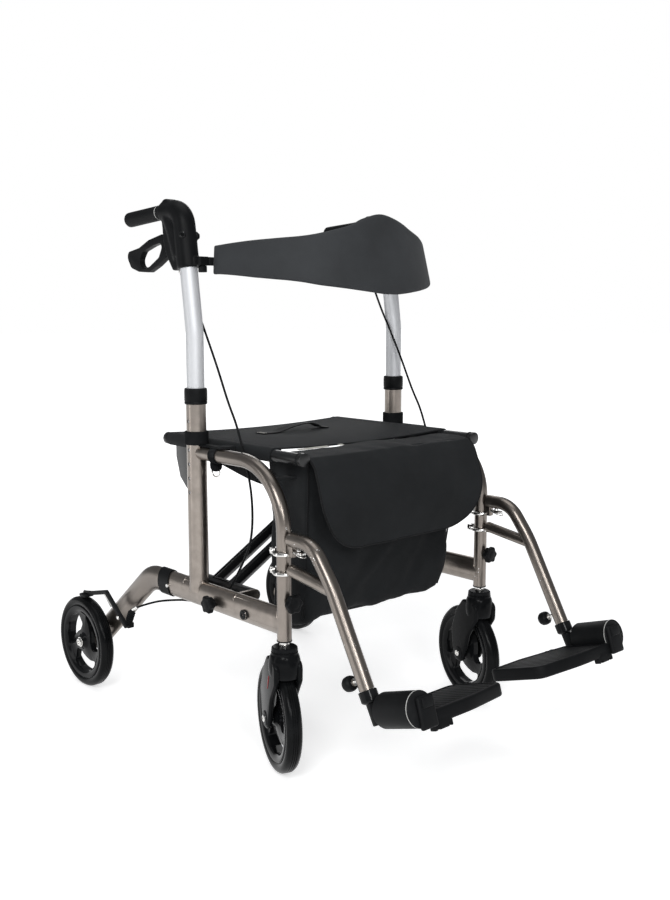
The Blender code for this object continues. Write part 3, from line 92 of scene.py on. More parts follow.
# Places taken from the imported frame's own design
FRAME_X = 0.253
REAR_WHEEL_X = 0.2845
REAR_AXLE = (0.424, 0.095)
CASTER_AXLE = (-0.163, 0.095)
UPRIGHT_Y = -0.198
POST_Y = 0.048
SEAT_RAIL_X = 0.216
SEAT_RAIL_Z = 0.543


# Small tools

def deselect():
    """Leave edit mode and select nothing."""
    if bpy.context.mode != "OBJECT":
        bpy.ops.object.mode_set(mode="OBJECT")
    bpy.ops.object.select_all(action="DESELECT")


def pick(obj):
    """Make one object selected and active."""
    deselect()
    obj.select_set(True)
    bpy.context.view_layer.objects.active = obj
    return obj


def edit(obj):
    """Go into edit mode on one object, with all of it selected."""
    pick(obj)
    bpy.ops.object.mode_set(mode="EDIT")
    bpy.ops.mesh.select_mode(type="VERT")
    bpy.ops.mesh.select_all(action="SELECT")


def leave():
    """Go back to object mode."""
    bpy.ops.object.mode_set(mode="OBJECT")


def settle(obj):
    """Apply an object's place to its mesh, so that it sits at the origin."""
    pick(obj)
    bpy.ops.object.transform_apply(location=True, rotation=True, scale=True)
    return obj


def clean(obj, distance=0.00001):
    """Merge doubled points and turn the faces outwards."""
    edit(obj)
    bpy.ops.mesh.remove_doubles(threshold=distance)
    bpy.ops.mesh.normals_make_consistent(inside=False)
    leave()
    return obj


def apply_all(obj):
    """Apply the modifiers of an object."""
    pick(obj)
    for modifier in list(obj.modifiers):
        bpy.ops.object.modifier_apply(modifier=modifier.name)
    return obj


def soften(obj, width, segments=2, angle=35, smooth=True):
    """Round the sharp edges with an applied bevel, then shade."""
    pick(obj)
    bevel = obj.modifiers.new("Edges", "BEVEL")
    bevel.width = width
    bevel.segments = segments
    bevel.limit_method = "ANGLE"
    bevel.angle_limit = math.radians(angle)
    bevel.harden_normals = False
    apply_all(obj)
    if smooth:
        shade(obj)
    return obj


def subdivide(obj):
    """Smooth a cage with one applied level of subdivision."""
    surface = obj.modifiers.new("Surface", "SUBSURF")
    surface.levels = surface.render_levels = 1
    return apply_all(obj)


def shade(obj, angle=40):
    """Shade smooth, with creases above an angle."""
    pick(obj)
    bpy.ops.object.shade_smooth_by_angle(angle=math.radians(angle))
    return obj


def join(first, *others):
    """Join objects into the first one."""
    if not others:
        return first
    deselect()
    for obj in others:
        obj.select_set(True)
    first.select_set(True)
    bpy.context.view_layer.objects.active = first
    bpy.ops.object.join()
    return first


def carve(obj, *tools):
    """Cut closed solids out of another and delete them."""
    for tool in tools:
        pick(obj)
        modifier = obj.modifiers.new("Cut", "BOOLEAN")
        modifier.operation = "DIFFERENCE"
        modifier.solver = "EXACT"
        modifier.object = tool
        bpy.ops.object.modifier_apply(modifier=modifier.name)
        bpy.data.objects.remove(tool)
    return obj


# Primitives shaped as pieces

def block(name, low, high, edge=0.0, segments=2):
    """Box between two opposite corners, with its edges rounded."""
    deselect()
    low = Vector(low)
    high = Vector(high)
    bpy.ops.mesh.primitive_cube_add(size=1, location=(low + high) / 2)
    obj = bpy.context.object
    obj.name = name
    obj.scale = [abs(value) for value in high - low]
    settle(obj)
    if edge:
        soften(obj, edge, segments)
    return obj


def lathe(name, profile, centre, axis, steps=48, closed=False, angle=30):
    """Spin a profile of (radius, height) points about an axis through the centre."""
    deselect()
    bpy.ops.mesh.primitive_circle_add(vertices=len(profile), radius=1, location=(0, 0, 0))
    obj = bpy.context.object
    obj.name = name
    mesh = bmesh.new()
    mesh.from_mesh(obj.data)
    mesh.verts.ensure_lookup_table()
    for vert, (radius, height) in zip(mesh.verts, profile):
        vert.co = (radius, 0, height)
    if not closed:
        ends = {mesh.verts[0], mesh.verts[len(profile) - 1]}
        loose = [edge for edge in mesh.edges if set(edge.verts) == ends]
        bmesh.ops.delete(mesh, geom=loose, context="EDGES_FACES")
    mesh.to_mesh(obj.data)
    mesh.free()
    edit(obj)
    bpy.ops.mesh.spin(steps=steps, angle=math.tau, center=(0, 0, 0), axis=(0, 0, 1))
    bpy.ops.mesh.select_all(action="SELECT")
    bpy.ops.mesh.remove_doubles(threshold=0.00001)
    bpy.ops.mesh.normals_make_consistent(inside=False)
    leave()
    turn = Vector(axis).to_track_quat("Z", "Y").to_matrix().to_4x4()
    obj.matrix_world = Matrix.Translation(centre) @ turn
    settle(obj)
    return shade(obj, angle)


def rod(name, start, end, radius, edge=0.0, sides=32):
    """Round bar between two points, with chamfered ends."""
    start = Vector(start)
    end = Vector(end)
    length = (end - start).length
    if edge:
        profile = [(0, 0), (radius - edge, 0), (radius, edge), (radius, length - edge), (radius - edge, length),
                   (0, length)]
    else:
        profile = [(0, 0), (radius, 0), (radius, length), (0, length)]
    return lathe(name, profile, start, end - start, sides)


def slab(name, outline, plane, middle, thickness):
    """Extrude a flat outline to both sides of its middle."""
    deselect()
    bpy.ops.mesh.primitive_circle_add(vertices=len(outline), radius=1, fill_type="NGON")
    obj = bpy.context.object
    obj.name = name
    place = {
        "YZ": lambda a, b, c: (c, a, b),
        "XZ": lambda a, b, c: (a, c, b),
        "XY": lambda a, b, c: (a, b, c),
    }[plane]
    for vert, point in zip(obj.data.vertices, outline):
        vert.co = place(point[0], point[1], middle - thickness / 2)
    edit(obj)
    bpy.ops.mesh.extrude_region_move(
        TRANSFORM_OT_translate={"value": Vector(place(0, 0, thickness))},
    )
    bpy.ops.mesh.select_all(action="SELECT")
    bpy.ops.mesh.normals_make_consistent(inside=False)
    leave()
    return obj


def rounded(points, radius, steps=6, closed=False):
    """Round the corners of a run of points with arcs."""
    corners = [Vector(point) for point in points]
    radii = radius if isinstance(radius, (list, tuple)) else [radius] * len(corners)
    path = []
    for index, corner in enumerate(corners):
        if radii[index] == 0 or (not closed and index in (0, len(corners) - 1)):
            path.append(corner)
            continue
        before = corners[index - 1] - corner
        after = corners[(index + 1) % len(corners)] - corner
        half = before.angle(after) / 2
        reach = min(radii[index] / math.tan(half), 0.49 * min(before.length, after.length))
        if reach < 0.00001:
            path.extend([corner] * (steps + 1))
            continue
        before.normalize()
        after.normalize()
        centre = corner + (before + after).normalized() * reach / math.cos(half)
        start = corner + before * reach - centre
        end = corner + after * reach - centre
        for step in range(steps + 1):
            path.append(centre + start.slerp(end, step / steps).normalized() * start.length)
    return path


def flat_loop(corners, radius, steps=6):
    """Outline with its corners rounded, as flat points."""
    run = rounded([(a, b, 0) for a, b in corners], radius, steps, closed=True)
    return [(point.x, point.y) for point in run]


def smooth_run(points, count):
    """Even points on a smooth curve through the given ones."""
    knots = [Vector(point) for point in points]
    knots = [2 * knots[0] - knots[1], *knots, 2 * knots[-1] - knots[-2]]
    fine = []
    for index in range(1, len(knots) - 2):
        before, start, end, after = knots[index - 1:index + 3]
        for step in range(20):
            t = step / 20
            fine.append(0.5 * (
                2 * start + (end - before) * t + (2 * before - 5 * start + 4 * end - after) * t ** 2
                + (3 * start - before - 3 * end + after) * t ** 3
            ))
    fine.append(knots[-2])
    lengths = [0.0]
    for first, second in zip(fine, fine[1:]):
        lengths.append(lengths[-1] + (second - first).length)
    run = []
    index = 0
    for step in range(count):
        target = lengths[-1] * step / (count - 1)
        while index < len(fine) - 2 and lengths[index + 1] < target:
            index += 1
        share = (target - lengths[index]) / (lengths[index + 1] - lengths[index])
        run.append(fine[index].lerp(fine[index + 1], share))
    return run


def pipe(name, points, radius, sides=24, flatten=1.0):
    """Run a round tube through points; flatten narrows it along X about its own plane."""
    deselect()
    bpy.ops.curve.primitive_bezier_curve_add(location=(0, 0, 0))
    obj = bpy.context.object
    obj.name = name
    curve = obj.data
    curve.splines.clear()
    curve.dimensions = "3D"
    curve.bevel_depth = radius
    curve.bevel_resolution = max(1, sides // 2 - 2)
    curve.use_fill_caps = True
    spline = curve.splines.new("POLY")
    spline.points.add(len(points) - 1)
    plane_x = points[0][0]
    for point, place in zip(spline.points, points):
        point.co = ((place[0] - plane_x) / flatten, place[1], place[2], 1)
    obj.scale.x = flatten
    obj.location.x = plane_x
    pick(obj)
    bpy.ops.object.convert(target="MESH")
    obj = bpy.context.object
    settle(obj)
    clean(obj)
    return shade(obj)


def yz(x, pairs):
    """Points in the plane at this x."""
    return [(x, pair[0], pair[1]) for pair in pairs]


def copy_node(name, edge=0.0, segments=2, angle=35):
    """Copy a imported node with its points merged, its flat faces whole and its edges softened."""
    pick(NODES[name])
    bpy.ops.object.duplicate(linked=False)
    obj = bpy.context.object
    obj.name = name
    for key in list(obj.keys()):
        if key.startswith("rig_"):
            del obj[key]
    obj.parent = None
    obj.matrix_world = Matrix.Identity(4)
    edit(obj)
    bpy.ops.mesh.remove_doubles(threshold=0.00002)
    bpy.ops.mesh.dissolve_limited(angle_limit=math.radians(1))
    leave()
    if edge:
        soften(obj, edge, segments, angle, smooth=False)
    return shade(obj, angle)


def dress(obj, finish, node=None, body=None, bend=None):
    """Give a piece its finish and slot; put it on its body, or only apply its place to its mesh when given a bend;
    hide the node it stands for.
    """
    obj.data.materials.clear()
    obj.data.materials.append(FINISHES[finish])
    for polygon in obj.data.polygons:
        polygon.material_index = 0
    if bend:
        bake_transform(obj)
    else:
        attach(obj, body or NODES[node]["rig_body"])
    if node:
        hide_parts(node)
    return obj


def each_side(build, *values):
    """Run a builder for the right-hand side, then for the left-hand one."""
    for label, side in SIDES:
        build(label, side, *values)


# Sizes and colours that a user would change

class RollatorSizes(bpy.types.PropertyGroup):
    """Sizes of the visible details."""

    tyre_grooves: IntProperty(
        name="Tyre grooves", description="Grooves round each tread", default=3, min=0, max=6,
    )
    wheel_steps: IntProperty(
        name="Wheel steps", description="Steps round each wheel", default=96, min=32, max=192,
    )
    strap_width: FloatProperty(
        name="Strap width", description="Width of the webbing straps", default=0.025, unit="LENGTH",
    )
    cloth_thickness: FloatProperty(
        name="Cloth thickness", description="Thickness of the bag's cloth", default=0.0016, unit="LENGTH",
    )
    weave_pitch: FloatProperty(
        name="Weave pitch", description="Distance between threads", default=0.0011, unit="LENGTH",
    )


def colour(name, description, value):
    """Colour property with its name, description and default."""
    return FloatVectorProperty(
        name=name, description=description, default=value, size=3, min=0, max=1, subtype="COLOR",
    )


class RollatorColours(bpy.types.PropertyGroup):
    """Base colours of the finishes, linear."""

    champagne: colour("Champagne", "Satin paint of the frame tubes", (0.195, 0.172, 0.153))
    silver: colour("Silver", "Handle tubes", (0.66, 0.67, 0.69))
    plastic: colour("Plastic", "Moulded parts", (0.0060, 0.0064, 0.0070))
    rubber: colour("Rubber", "Tyres", (0.0048, 0.0052, 0.0056))
    cloth: colour("Cloth", "Seat and bag", (0.0115, 0.0125, 0.0135))
    pad: colour("Pad", "Cover of the backrest", (0.0250, 0.0270, 0.0295))
    lining: colour("Lining", "Inside of the bag", (0.36, 0.35, 0.32))


# Node helpers

def node(tree, kind, place=(0, 0), **values):
    """Add a shader node, set its properties, then its named inputs."""
    made = tree.nodes.new(kind)
    made.location = place
    inputs = values.pop("inputs", {})
    for key, value in values.items():
        setattr(made, key, value)
    for key, value in inputs.items():
        made.inputs[key].default_value = value
    return made


def link(tree, source, output, target, name):
    """Join an output to an input."""
    tree.links.new(source.outputs[output], target.inputs[name])


def wire(tree, links):
    """Make several links, each as (source, output, target, input)."""
    for source, output, target, name in links:
        link(tree, source, output, target, name)


def maths(tree, operation, place, *sources):
    """Add a Math node fed by (node, output) pairs or plain numbers."""
    made = node(tree, "ShaderNodeMath", place, operation=operation)
    for index, source in enumerate(sources):
        if isinstance(source, tuple):
            link(tree, *source, made, index)
        else:
            made.inputs[index].default_value = source
    return made


def group(name, inputs, outputs):
    """Start a shader node group with named sockets."""
    tree = bpy.data.node_groups.new(name, "ShaderNodeTree")
    for label, kind, value in inputs:
        socket = tree.interface.new_socket(name=label, in_out="INPUT", socket_type=kind)
        if value is not None:
            socket.default_value = value
    for label, kind in outputs:
        tree.interface.new_socket(name=label, in_out="OUTPUT", socket_type=kind)
    start = node(tree, "NodeGroupInput", (-900, 0))
    end = node(tree, "NodeGroupOutput", (600, 0))
    return tree, start, end


VECTOR = "NodeSocketVector"
NUMBER = "NodeSocketFloat"
COLOUR = "NodeSocketColor"


def grain_group():
    """Fine moulded or sprayed grain, with slow patches for colour and gloss."""
    tree, start, end = group("Grain", [
        ("Vector", VECTOR, None), ("Scale", NUMBER, 900.0), ("Patch scale", NUMBER, 14.0),
        ("Dark", COLOUR, (0, 0, 0, 1)), ("Light", COLOUR, (1, 1, 1, 1)),
        ("Rough low", NUMBER, 0.3), ("Rough high", NUMBER, 0.5),
    ], [("Colour", COLOUR), ("Roughness", NUMBER), ("Height", NUMBER)])
    fine = node(tree, "ShaderNodeTexNoise", (-600, 200), inputs={"Detail": 3.0, "Roughness": 0.6})
    patch = node(tree, "ShaderNodeTexNoise", (-600, -100), inputs={"Detail": 4.0, "Roughness": 0.55})
    spread = node(tree, "ShaderNodeMapRange", (-350, -100), inputs={"From Min": 0.3, "From Max": 0.7})
    mix = node(tree, "ShaderNodeMix", (0, 200), data_type="RGBA")
    rough = node(tree, "ShaderNodeMapRange", (0, -150))
    wire(tree, [
        (start, "Vector", fine, "Vector"), (start, "Scale", fine, "Scale"), (start, "Vector", patch, "Vector"),
        (start, "Patch scale", patch, "Scale"), (patch, "Fac", spread, "Value"), (spread, "Result", mix, "Factor"),
        (start, "Dark", mix, "A"), (start, "Light", mix, "B"), (patch, "Fac", rough, "Value"),
        (start, "Rough low", rough, "To Min"), (start, "Rough high", rough, "To Max"),
        (mix, "Result", end, "Colour"), (rough, "Result", end, "Roughness"), (fine, "Fac", end, "Height"),
    ])
    return tree


def edge_highlight_group():
    """Mask for a painted highlight along convex edges, broken up by noise."""
    tree, start, end = group("Painted edge highlight", [
        ("Vector", VECTOR, None), ("Low", NUMBER, 0.53), ("High", NUMBER, 0.62), ("Amount", NUMBER, 0.5),
    ], [("Mask", NUMBER)])
    geometry = node(tree, "ShaderNodeNewGeometry", (-700, 200))
    noise = node(tree, "ShaderNodeTexNoise", (-700, -100), inputs={"Scale": 60.0, "Detail": 4.0})
    # Convex edges found by pointiness carry the painted highlight.
    edge = node(tree, "ShaderNodeMapRange", (-400, 200))
    broken = maths(tree, "MULTIPLY", (-150, 100), (edge, "Result"), (noise, "Fac"))
    amount = maths(tree, "MULTIPLY", (100, 100), (broken, "Value"), (start, "Amount"))
    wire(tree, [
        (start, "Vector", noise, "Vector"), (geometry, "Pointiness", edge, "Value"),
        (start, "Low", edge, "From Min"), (start, "High", edge, "From Max"), (amount, "Value", end, "Mask"),
    ])
    return tree


def weave_group():
    """Plain weave of threads in two directions, from a vector in metres."""
    tree, start, end = group("Weave", [
        ("Vector", VECTOR, None), ("Pitch", NUMBER, 0.0011),
    ], [("Height", NUMBER), ("Mask", NUMBER)])
    parts = node(tree, "ShaderNodeSeparateXYZ", (-700, 0))
    threads = []
    for axis, high in (("X", 200), ("Y", -100)):
        turns = maths(tree, "DIVIDE", (-500, high), (parts, axis), (start, "Pitch"))
        angle = maths(tree, "MULTIPLY", (-350, high), (turns, "Value"), math.pi)
        threads.append(maths(tree, "SINE", (-200, high), (angle, "Value")))
    cross = maths(tree, "MULTIPLY", (0, 0), *[(thread, "Value") for thread in threads])
    lift = node(tree, "ShaderNodeMapRange", (150, 0), inputs={"From Min": -1.0, "From Max": 1.0})
    wire(tree, [
        (start, "Vector", parts, "Vector"), (cross, "Value", lift, "Value"),
        (lift, "Result", end, "Height"), (lift, "Result", end, "Mask"),
    ])
    return tree


def speckle_group():
    """Small scattered spots in patches, on a bright tube."""
    tree, start, end = group("Speckle", [
        ("Vector", VECTOR, None), ("Scale", NUMBER, 160.0), ("Size", NUMBER, 0.16), ("Share", NUMBER, 0.55),
    ], [("Mask", NUMBER)])
    cells = node(tree, "ShaderNodeTexVoronoi", (-600, 200), inputs={"Randomness": 1.0})
    where = node(tree, "ShaderNodeTexNoise", (-600, -150), inputs={"Scale": 22.0, "Detail": 2.0})
    near = maths(tree, "LESS_THAN", (-300, 200), (cells, "Distance"), (start, "Size"))
    chosen = maths(tree, "GREATER_THAN", (-300, -150), (where, "Fac"), (start, "Share"))
    both = maths(tree, "MULTIPLY", (0, 0), (near, "Value"), (chosen, "Value"))
    wire(tree, [
        (start, "Vector", cells, "Vector"), (start, "Vector", where, "Vector"), (start, "Scale", cells, "Scale"),
        (both, "Value", end, "Mask"),
    ])
    return tree


def place(tree, name, build, where, **inputs):
    """Put a shared group, built on its first use, into a material with its own values."""
    made = node(tree, "ShaderNodeGroup", where)
    made.node_tree = bpy.data.node_groups.get(name) or build()
    for key, value in inputs.items():
        made.inputs[key.replace("_", " ").capitalize()].default_value = value
    return made


def shades(base, low, high):
    """Darker and lighter shade of a colour."""
    return (*[value * low for value in base], 1.0), (*[min(1.0, value * high) for value in base], 1.0)


def grained(name, base, contrast, rough, scale, patch_scale, metallic=0.0, gloss=0.5):
    """Start a material whose grain shades its colour and drives its roughness; give its nodes."""
    material = bpy.data.materials.new(name)
    material.use_nodes = True
    tree = material.node_tree
    shader = tree.nodes["Principled BSDF"]
    shader.inputs["Metallic"].default_value = metallic
    shader.inputs["Specular IOR Level"].default_value = gloss
    coordinates = node(tree, "ShaderNodeTexCoord", (-1400, 0))
    dark, light = shades(base, *contrast)
    grain = place(tree, "Grain", grain_group, (-900, 100), scale=scale, patch_scale=patch_scale,
                  dark=dark, light=light, rough_low=rough[0], rough_high=rough[1])
    wire(tree, [(coordinates, "Object", grain, "Vector"), (grain, "Roughness", shader, "Roughness")])
    return material, tree, shader, coordinates, grain


def bump(tree, shader, source, strength, distance):
    """Turn a node's height into the shader's normal."""
    made = node(tree, "ShaderNodeBump", (-250, -350), inputs={"Strength": strength, "Distance": distance})
    wire(tree, [(source, "Height", made, "Height"), (made, "Normal", shader, "Normal")])


def mixed(tree, mask, first, second, target, name, where=(-350, 100)):
    """Mix two colours by a mask into an input; the first is a (node, output) pair, the second that or a colour."""
    mix = node(tree, "ShaderNodeMix", where, data_type="RGBA")
    link(tree, mask, "Mask", mix, "Factor")
    link(tree, *first, mix, "A")
    if isinstance(second[0], bpy.types.Node):
        link(tree, *second, mix, "B")
    else:
        mix.inputs["B"].default_value = second
    if target:
        link(tree, mix, "Result", target, name)
    return mix


def painted_edge_highlight(tree, coordinates, amount):
    """Put the mask of the painted edge highlight into a material."""
    edge_highlight_mask = place(tree, "Painted edge highlight", edge_highlight_group, (-900, -250), amount=amount)
    link(tree, coordinates, "Object", edge_highlight_mask, "Vector")
    return edge_highlight_mask


def painted_metal(name, base, metallic=0.95, rough=(0.26, 0.34), speckled=0.0, flake=0.25, coat=0.12):
    """Satin metallic paint with a fine flake, a painted highlight along its edges and a few spots."""
    material, tree, shader, coordinates, grain = grained(name, base, (0.88, 1.10), rough, 2600.0, 9.0, metallic)
    edge_highlight_mask = painted_edge_highlight(tree, coordinates, 0.7)
    spots = place(tree, "Speckle", speckle_group, (-900, -450), share=1.0 - speckled)
    link(tree, coordinates, "Object", spots, "Vector")
    # Paint colour made brighter along convex edges: a painted highlight.
    metal_edge_highlight = shades(base, 1.0, 2.2)[1]
    edged = mixed(tree, edge_highlight_mask, (grain, "Colour"), metal_edge_highlight, None, "", (-550, 150))
    mixed(tree, spots, (edged, "Result"), (0.80, 0.80, 0.78, 1), shader, "Base Color")
    bump(tree, shader, grain, flake, 0.00006)
    shader.inputs["Coat Weight"].default_value = coat
    shader.inputs["Coat Roughness"].default_value = 0.28
    return material


def moulded_plastic(name, base, rough=(0.36, 0.50), scale=1500.0, relief=0.3, depth=0.00008, gloss=0.08):
    """Moulded plastic with a fine texture, slow gloss patches and a painted highlight along its edges."""
    material, tree, shader, coordinates, grain = grained(name, base, (0.85, 1.25), rough, scale, 18.0, gloss=gloss)
    edge_highlight_mask = painted_edge_highlight(tree, coordinates, 0.8)
    # Lighter colour along convex edges: a painted highlight.
    plastic_edge_highlight = (*[min(1.0, value * 3.0 + 0.02) for value in base], 1.0)
    mixed(tree, edge_highlight_mask, (grain, "Colour"), plastic_edge_highlight, shader, "Base Color")
    bump(tree, shader, grain, relief, depth)
    return material


def bright_metal(name, base, rough=(0.18, 0.32), metallic=1.0):
    """Bare or plated metal with faint drawn lines and handling marks."""
    material, tree, shader, coordinates, grain = grained(name, base, (0.93, 1.03), rough, 1800.0, 30.0, metallic)
    stretch = node(tree, "ShaderNodeMapping", (-1150, 0), inputs={"Scale": (1.0, 1.0, 0.06)})
    wire(tree, [
        (coordinates, "Object", stretch, "Vector"), (stretch, "Vector", grain, "Vector"),
        (grain, "Colour", shader, "Base Color"),
    ])
    bump(tree, shader, grain, 0.12, 0.00004)
    return material


def woven_cloth(name, base, pitch, rough=0.82, relief=0.6, sheen=0.03, uv=False, contrast=1.5, gloss=0.12):
    """Woven cloth: threads in two directions, with a painted highlight where they rise, and slow fading."""
    material, tree, shader, coordinates, dust = grained(
        name, base, (0.80, 1.20), (rough - 0.08, rough + 0.08), 900.0, 11.0, gloss=gloss)
    weave = place(tree, "Weave", weave_group, (-900, 0), pitch=pitch)
    # Lighter copy of the cloth colour laid on the raised threads: a painted highlight on the thread tops.
    bright = node(tree, "ShaderNodeMix", (-600, -150), data_type="RGBA", blend_type="MULTIPLY")
    bright.inputs["Factor"].default_value = 1.0
    bright.inputs["B"].default_value = (contrast, contrast, contrast, 1)
    wire(tree, [(coordinates, "UV" if uv else "Object", weave, "Vector"), (dust, "Colour", bright, "A")])
    mixed(tree, weave, (dust, "Colour"), (bright, "Result"), shader, "Base Color")
    bump(tree, shader, weave, relief, 0.0003)
    shader.inputs["Sheen Weight"].default_value = sheen
    shader.inputs["Sheen Roughness"].default_value = 0.5
    return material


def rubber_finish(name, base, rough=(0.20, 0.32)):
    """Tyre rubber, glossy with a bloom of dust."""
    material, tree, shader, _, grain = grained(name, base, (0.8, 1.5), rough, 1100.0, 26.0, gloss=0.08)
    link(tree, grain, "Colour", shader, "Base Color")
    bump(tree, shader, grain, 0.15, 0.00008)
    return material


FINISHES = {}


def make_finishes(colours, sizes):
    """Build every material of the rollator once."""
    pitch = sizes.weave_pitch
    plastic = tuple(colours.plastic)
    FINISHES.update({
        "champagne": painted_metal("Champagne paint", tuple(colours.champagne)),
        "champagne_spotted": painted_metal("Champagne paint spotted", tuple(colours.champagne), speckled=0.42),
        "black_tube": painted_metal("Black tube", plastic, 0.3, (0.30, 0.42), flake=0.1, coat=0.25),
        "silver": bright_metal("Silver tube", tuple(colours.silver), (0.46, 0.54), 0.42),
        "steel": bright_metal("Plated steel", (0.72, 0.71, 0.69), (0.14, 0.26)),
        "plastic": moulded_plastic("Black plastic", plastic),
        "glossy": moulded_plastic("Glossy black plastic", plastic, (0.09, 0.17), 700.0, 0.08, gloss=0.10),
        "fork": moulded_plastic("Fork plastic", plastic, (0.16, 0.26), 900.0, 0.10, gloss=0.05),
        "tread": moulded_plastic("Footplate plastic", plastic, (0.44, 0.62), 620.0, 0.55, 0.00016),
        "matt": moulded_plastic("Matt plastic", plastic, (0.60, 0.75), gloss=0.02),
        "grip": moulded_plastic("Soft grip", plastic, (0.50, 0.66), 2200.0, 0.5),
        "pale_ring": moulded_plastic("Pale ring", (0.32, 0.32, 0.31), (0.3, 0.4)),
        "red": moulded_plastic("Dark red reflector", (0.17, 0.010, 0.012), (0.18, 0.3), 500.0, 0.1),
        "rubber": rubber_finish("Tyre rubber", tuple(colours.rubber)),
        "cable": rubber_finish("Cable sheath", plastic, (0.35, 0.5)),
        "seat": woven_cloth("Sling cloth", tuple(colours.cloth), pitch, uv=False),
        "bag": woven_cloth("Bag cloth", tuple(colours.cloth), pitch, uv=True),
        "pad": woven_cloth("Backrest cloth", tuple(colours.pad), pitch * 0.8, 0.72, 0.30, 0.06, uv=True,
                           contrast=1.2, gloss=0.25),
        "strap": woven_cloth("Webbing", plastic, 0.0016, 0.7, 0.8, 0.03, uv=True),
        "stitch": woven_cloth("Pale thread", (0.42, 0.41, 0.38), 0.0006, 0.7, 0.3),
        "dark_stitch": woven_cloth("Dark thread", (0.035, 0.036, 0.038), 0.0006, 0.7, 0.3),
        "lining": woven_cloth("Bag lining", tuple(colours.lining), 0.0009, 0.8, 0.3, 0.1),
        "hole": moulded_plastic("Hole shadow", (0.004, 0.004, 0.004), (0.7, 0.8)),
    })


# Side frames

RAIL_Z = 0.2725
RAIL_TALL = 0.048
RAIL_WIDE = 0.025
RAIL_REAR = 0.150
ARCH_Z = 0.534
ARCH_RADIUS = 0.0125
UPRIGHT_BOTTOM = 0.240
POST_RADIUS = 0.018
POST_LOW = 0.2765
POST_TOP = 0.625
POST_HOLE_TOP = 0.5906
POST_HOLE_PITCH = 0.0258
POST_HOLES = 6
POST_HOLE_RADIUS = 0.0034
POST_WALL = 0.0016
# Size of the near-black rod inside the post that stands for shade.
SHADE_ROD_RADIUS = 0.0160
SHADE_ROD_TOP = 0.449
ARCH_BEND = 0.110
RAIL_CAP = (-0.105, 0.267)
LEG_BEND = 0.125
LEG_END_RADIUS = 0.021
STUB_AXLE_RADIUS = 0.006
LEG_COLLAR_REACH = 0.017
LEG_BEND_Y = 0.207
LEG_STUD = (0.135, 0.270)
WELD_REACH = 0.0118
HANDLE_RADIUS = 0.0158
HANDLE_LEAN = math.tan(math.radians(7.6))
HANDLE_BEND_Z = 0.752
HANDLE_LOW = 0.450
HANDLE_TOP = 0.900
PIVOT_Z = 0.285


def oval(name, path, grow=0.0):
    """Oval tube along a side, as tall and wide as the rail."""
    wide = RAIL_WIDE + 2 * grow
    tall = RAIL_TALL + 2 * grow
    return pipe(name, path, tall / 2, 40, wide / tall)


def bead(name, ring, radius):
    """Rough bead of weld along a run of points."""
    obj = pipe(name, ring, radius, 10)
    lumps = bpy.data.textures.new("Weld lumps", "CLOUDS")
    lumps.noise_scale = 0.006
    rough = obj.modifiers.new("Lumps", "DISPLACE")
    rough.texture = lumps
    rough.strength = radius * 0.9
    rough.mid_level = 0.5
    apply_all(obj)
    return shade(obj, 60)


def foot_arc(x, y, radius, way):
    """Line where a tube of this radius meets the rail, on the front (-1) or rear (1) of the tube."""
    points = []
    for step in range(25):
        across = WELD_REACH * (step / 12 - 1)
        lift = RAIL_TALL / 2 * math.sqrt(1 - (across / (RAIL_WIDE / 2)) ** 2)
        points.append((x + across, y + way * math.sqrt(radius ** 2 - across ** 2), RAIL_Z + lift))
    return points


def side_rail(label, side):
    """Oval rail on its packed lugs, with the round cap on its outer face."""
    x = side * FRAME_X
    rail = copy_node(f"rail_{label}", angle=50)
    tube = oval("rail tube", yz(x, [(UPRIGHT_Y, RAIL_Z), (RAIL_REAR, RAIL_Z)]))
    dress(join(rail, tube), "champagne", f"rail_{label}")
    cap = round_bolt(f"rail_cap_{label}", (x + side * (RAIL_WIDE / 2 + 0.0008), *RAIL_CAP), (side, 0, 0),
                     0.0092, 0.0046, 0.3)
    dress(cap, "glossy", body=f"{label}_frame")


def front_arch(label, side):
    """Bent front tube with the plastic ring at its foot."""
    x = side * FRAME_X
    corners = [(POST_Y - 0.008, ARCH_Z), (UPRIGHT_Y, ARCH_Z), (UPRIGHT_Y, UPRIGHT_BOTTOM)]
    arch = pipe(f"front_arch_{label}", rounded(yz(x, corners), ARCH_BEND, 28), ARCH_RADIUS, 36)
    dress(arch, "champagne_spotted", f"front_arch_{label}")
    ring = lathe(f"upright_foot_{label}", [
        (0.0070, 0.0022), (ARCH_RADIUS + 0.0004, 0.0022), (ARCH_RADIUS + 0.0007, 0.0014),
        (ARCH_RADIUS + 0.0004, 0.0), (0.0070, 0),
    ], (x, UPRIGHT_Y, UPRIGHT_BOTTOM), UPWARD, 48, closed=True)
    dress(ring, "plastic", body=f"{label}_frame")


def post(label, side):
    """Upright tube with its row of height holes, and a near-black rod inside it as painted shade behind them."""
    x = side * FRAME_X
    inside = POST_RADIUS - POST_WALL
    tube = lathe(f"post_{label}", [
        (inside, POST_TOP), (POST_RADIUS, POST_TOP), (POST_RADIUS, POST_LOW), (inside, POST_LOW),
    ], (x, POST_Y, 0), UPWARD, 64, closed=True)
    tools = []
    for index in range(POST_HOLES):
        z = POST_HOLE_TOP - index * POST_HOLE_PITCH
        start = (x + side * 0.008, POST_Y, z)
        tools.append(rod("hole", start, (x + side * 0.03, POST_Y, z), POST_HOLE_RADIUS, sides=20))
    carve(tube, join(*tools))
    clean(tube, 0.000005)
    dress(shade(tube), "champagne", f"post_{label}")
    # Near-black rod inside the post: painted shade in the hollow tube.
    lining = rod(f"post_inside_{label}", (x, POST_Y, POST_LOW + 0.05), (x, POST_Y, SHADE_ROD_TOP), SHADE_ROD_RADIUS)
    dress(lining, "hole", body=f"{label}_frame")


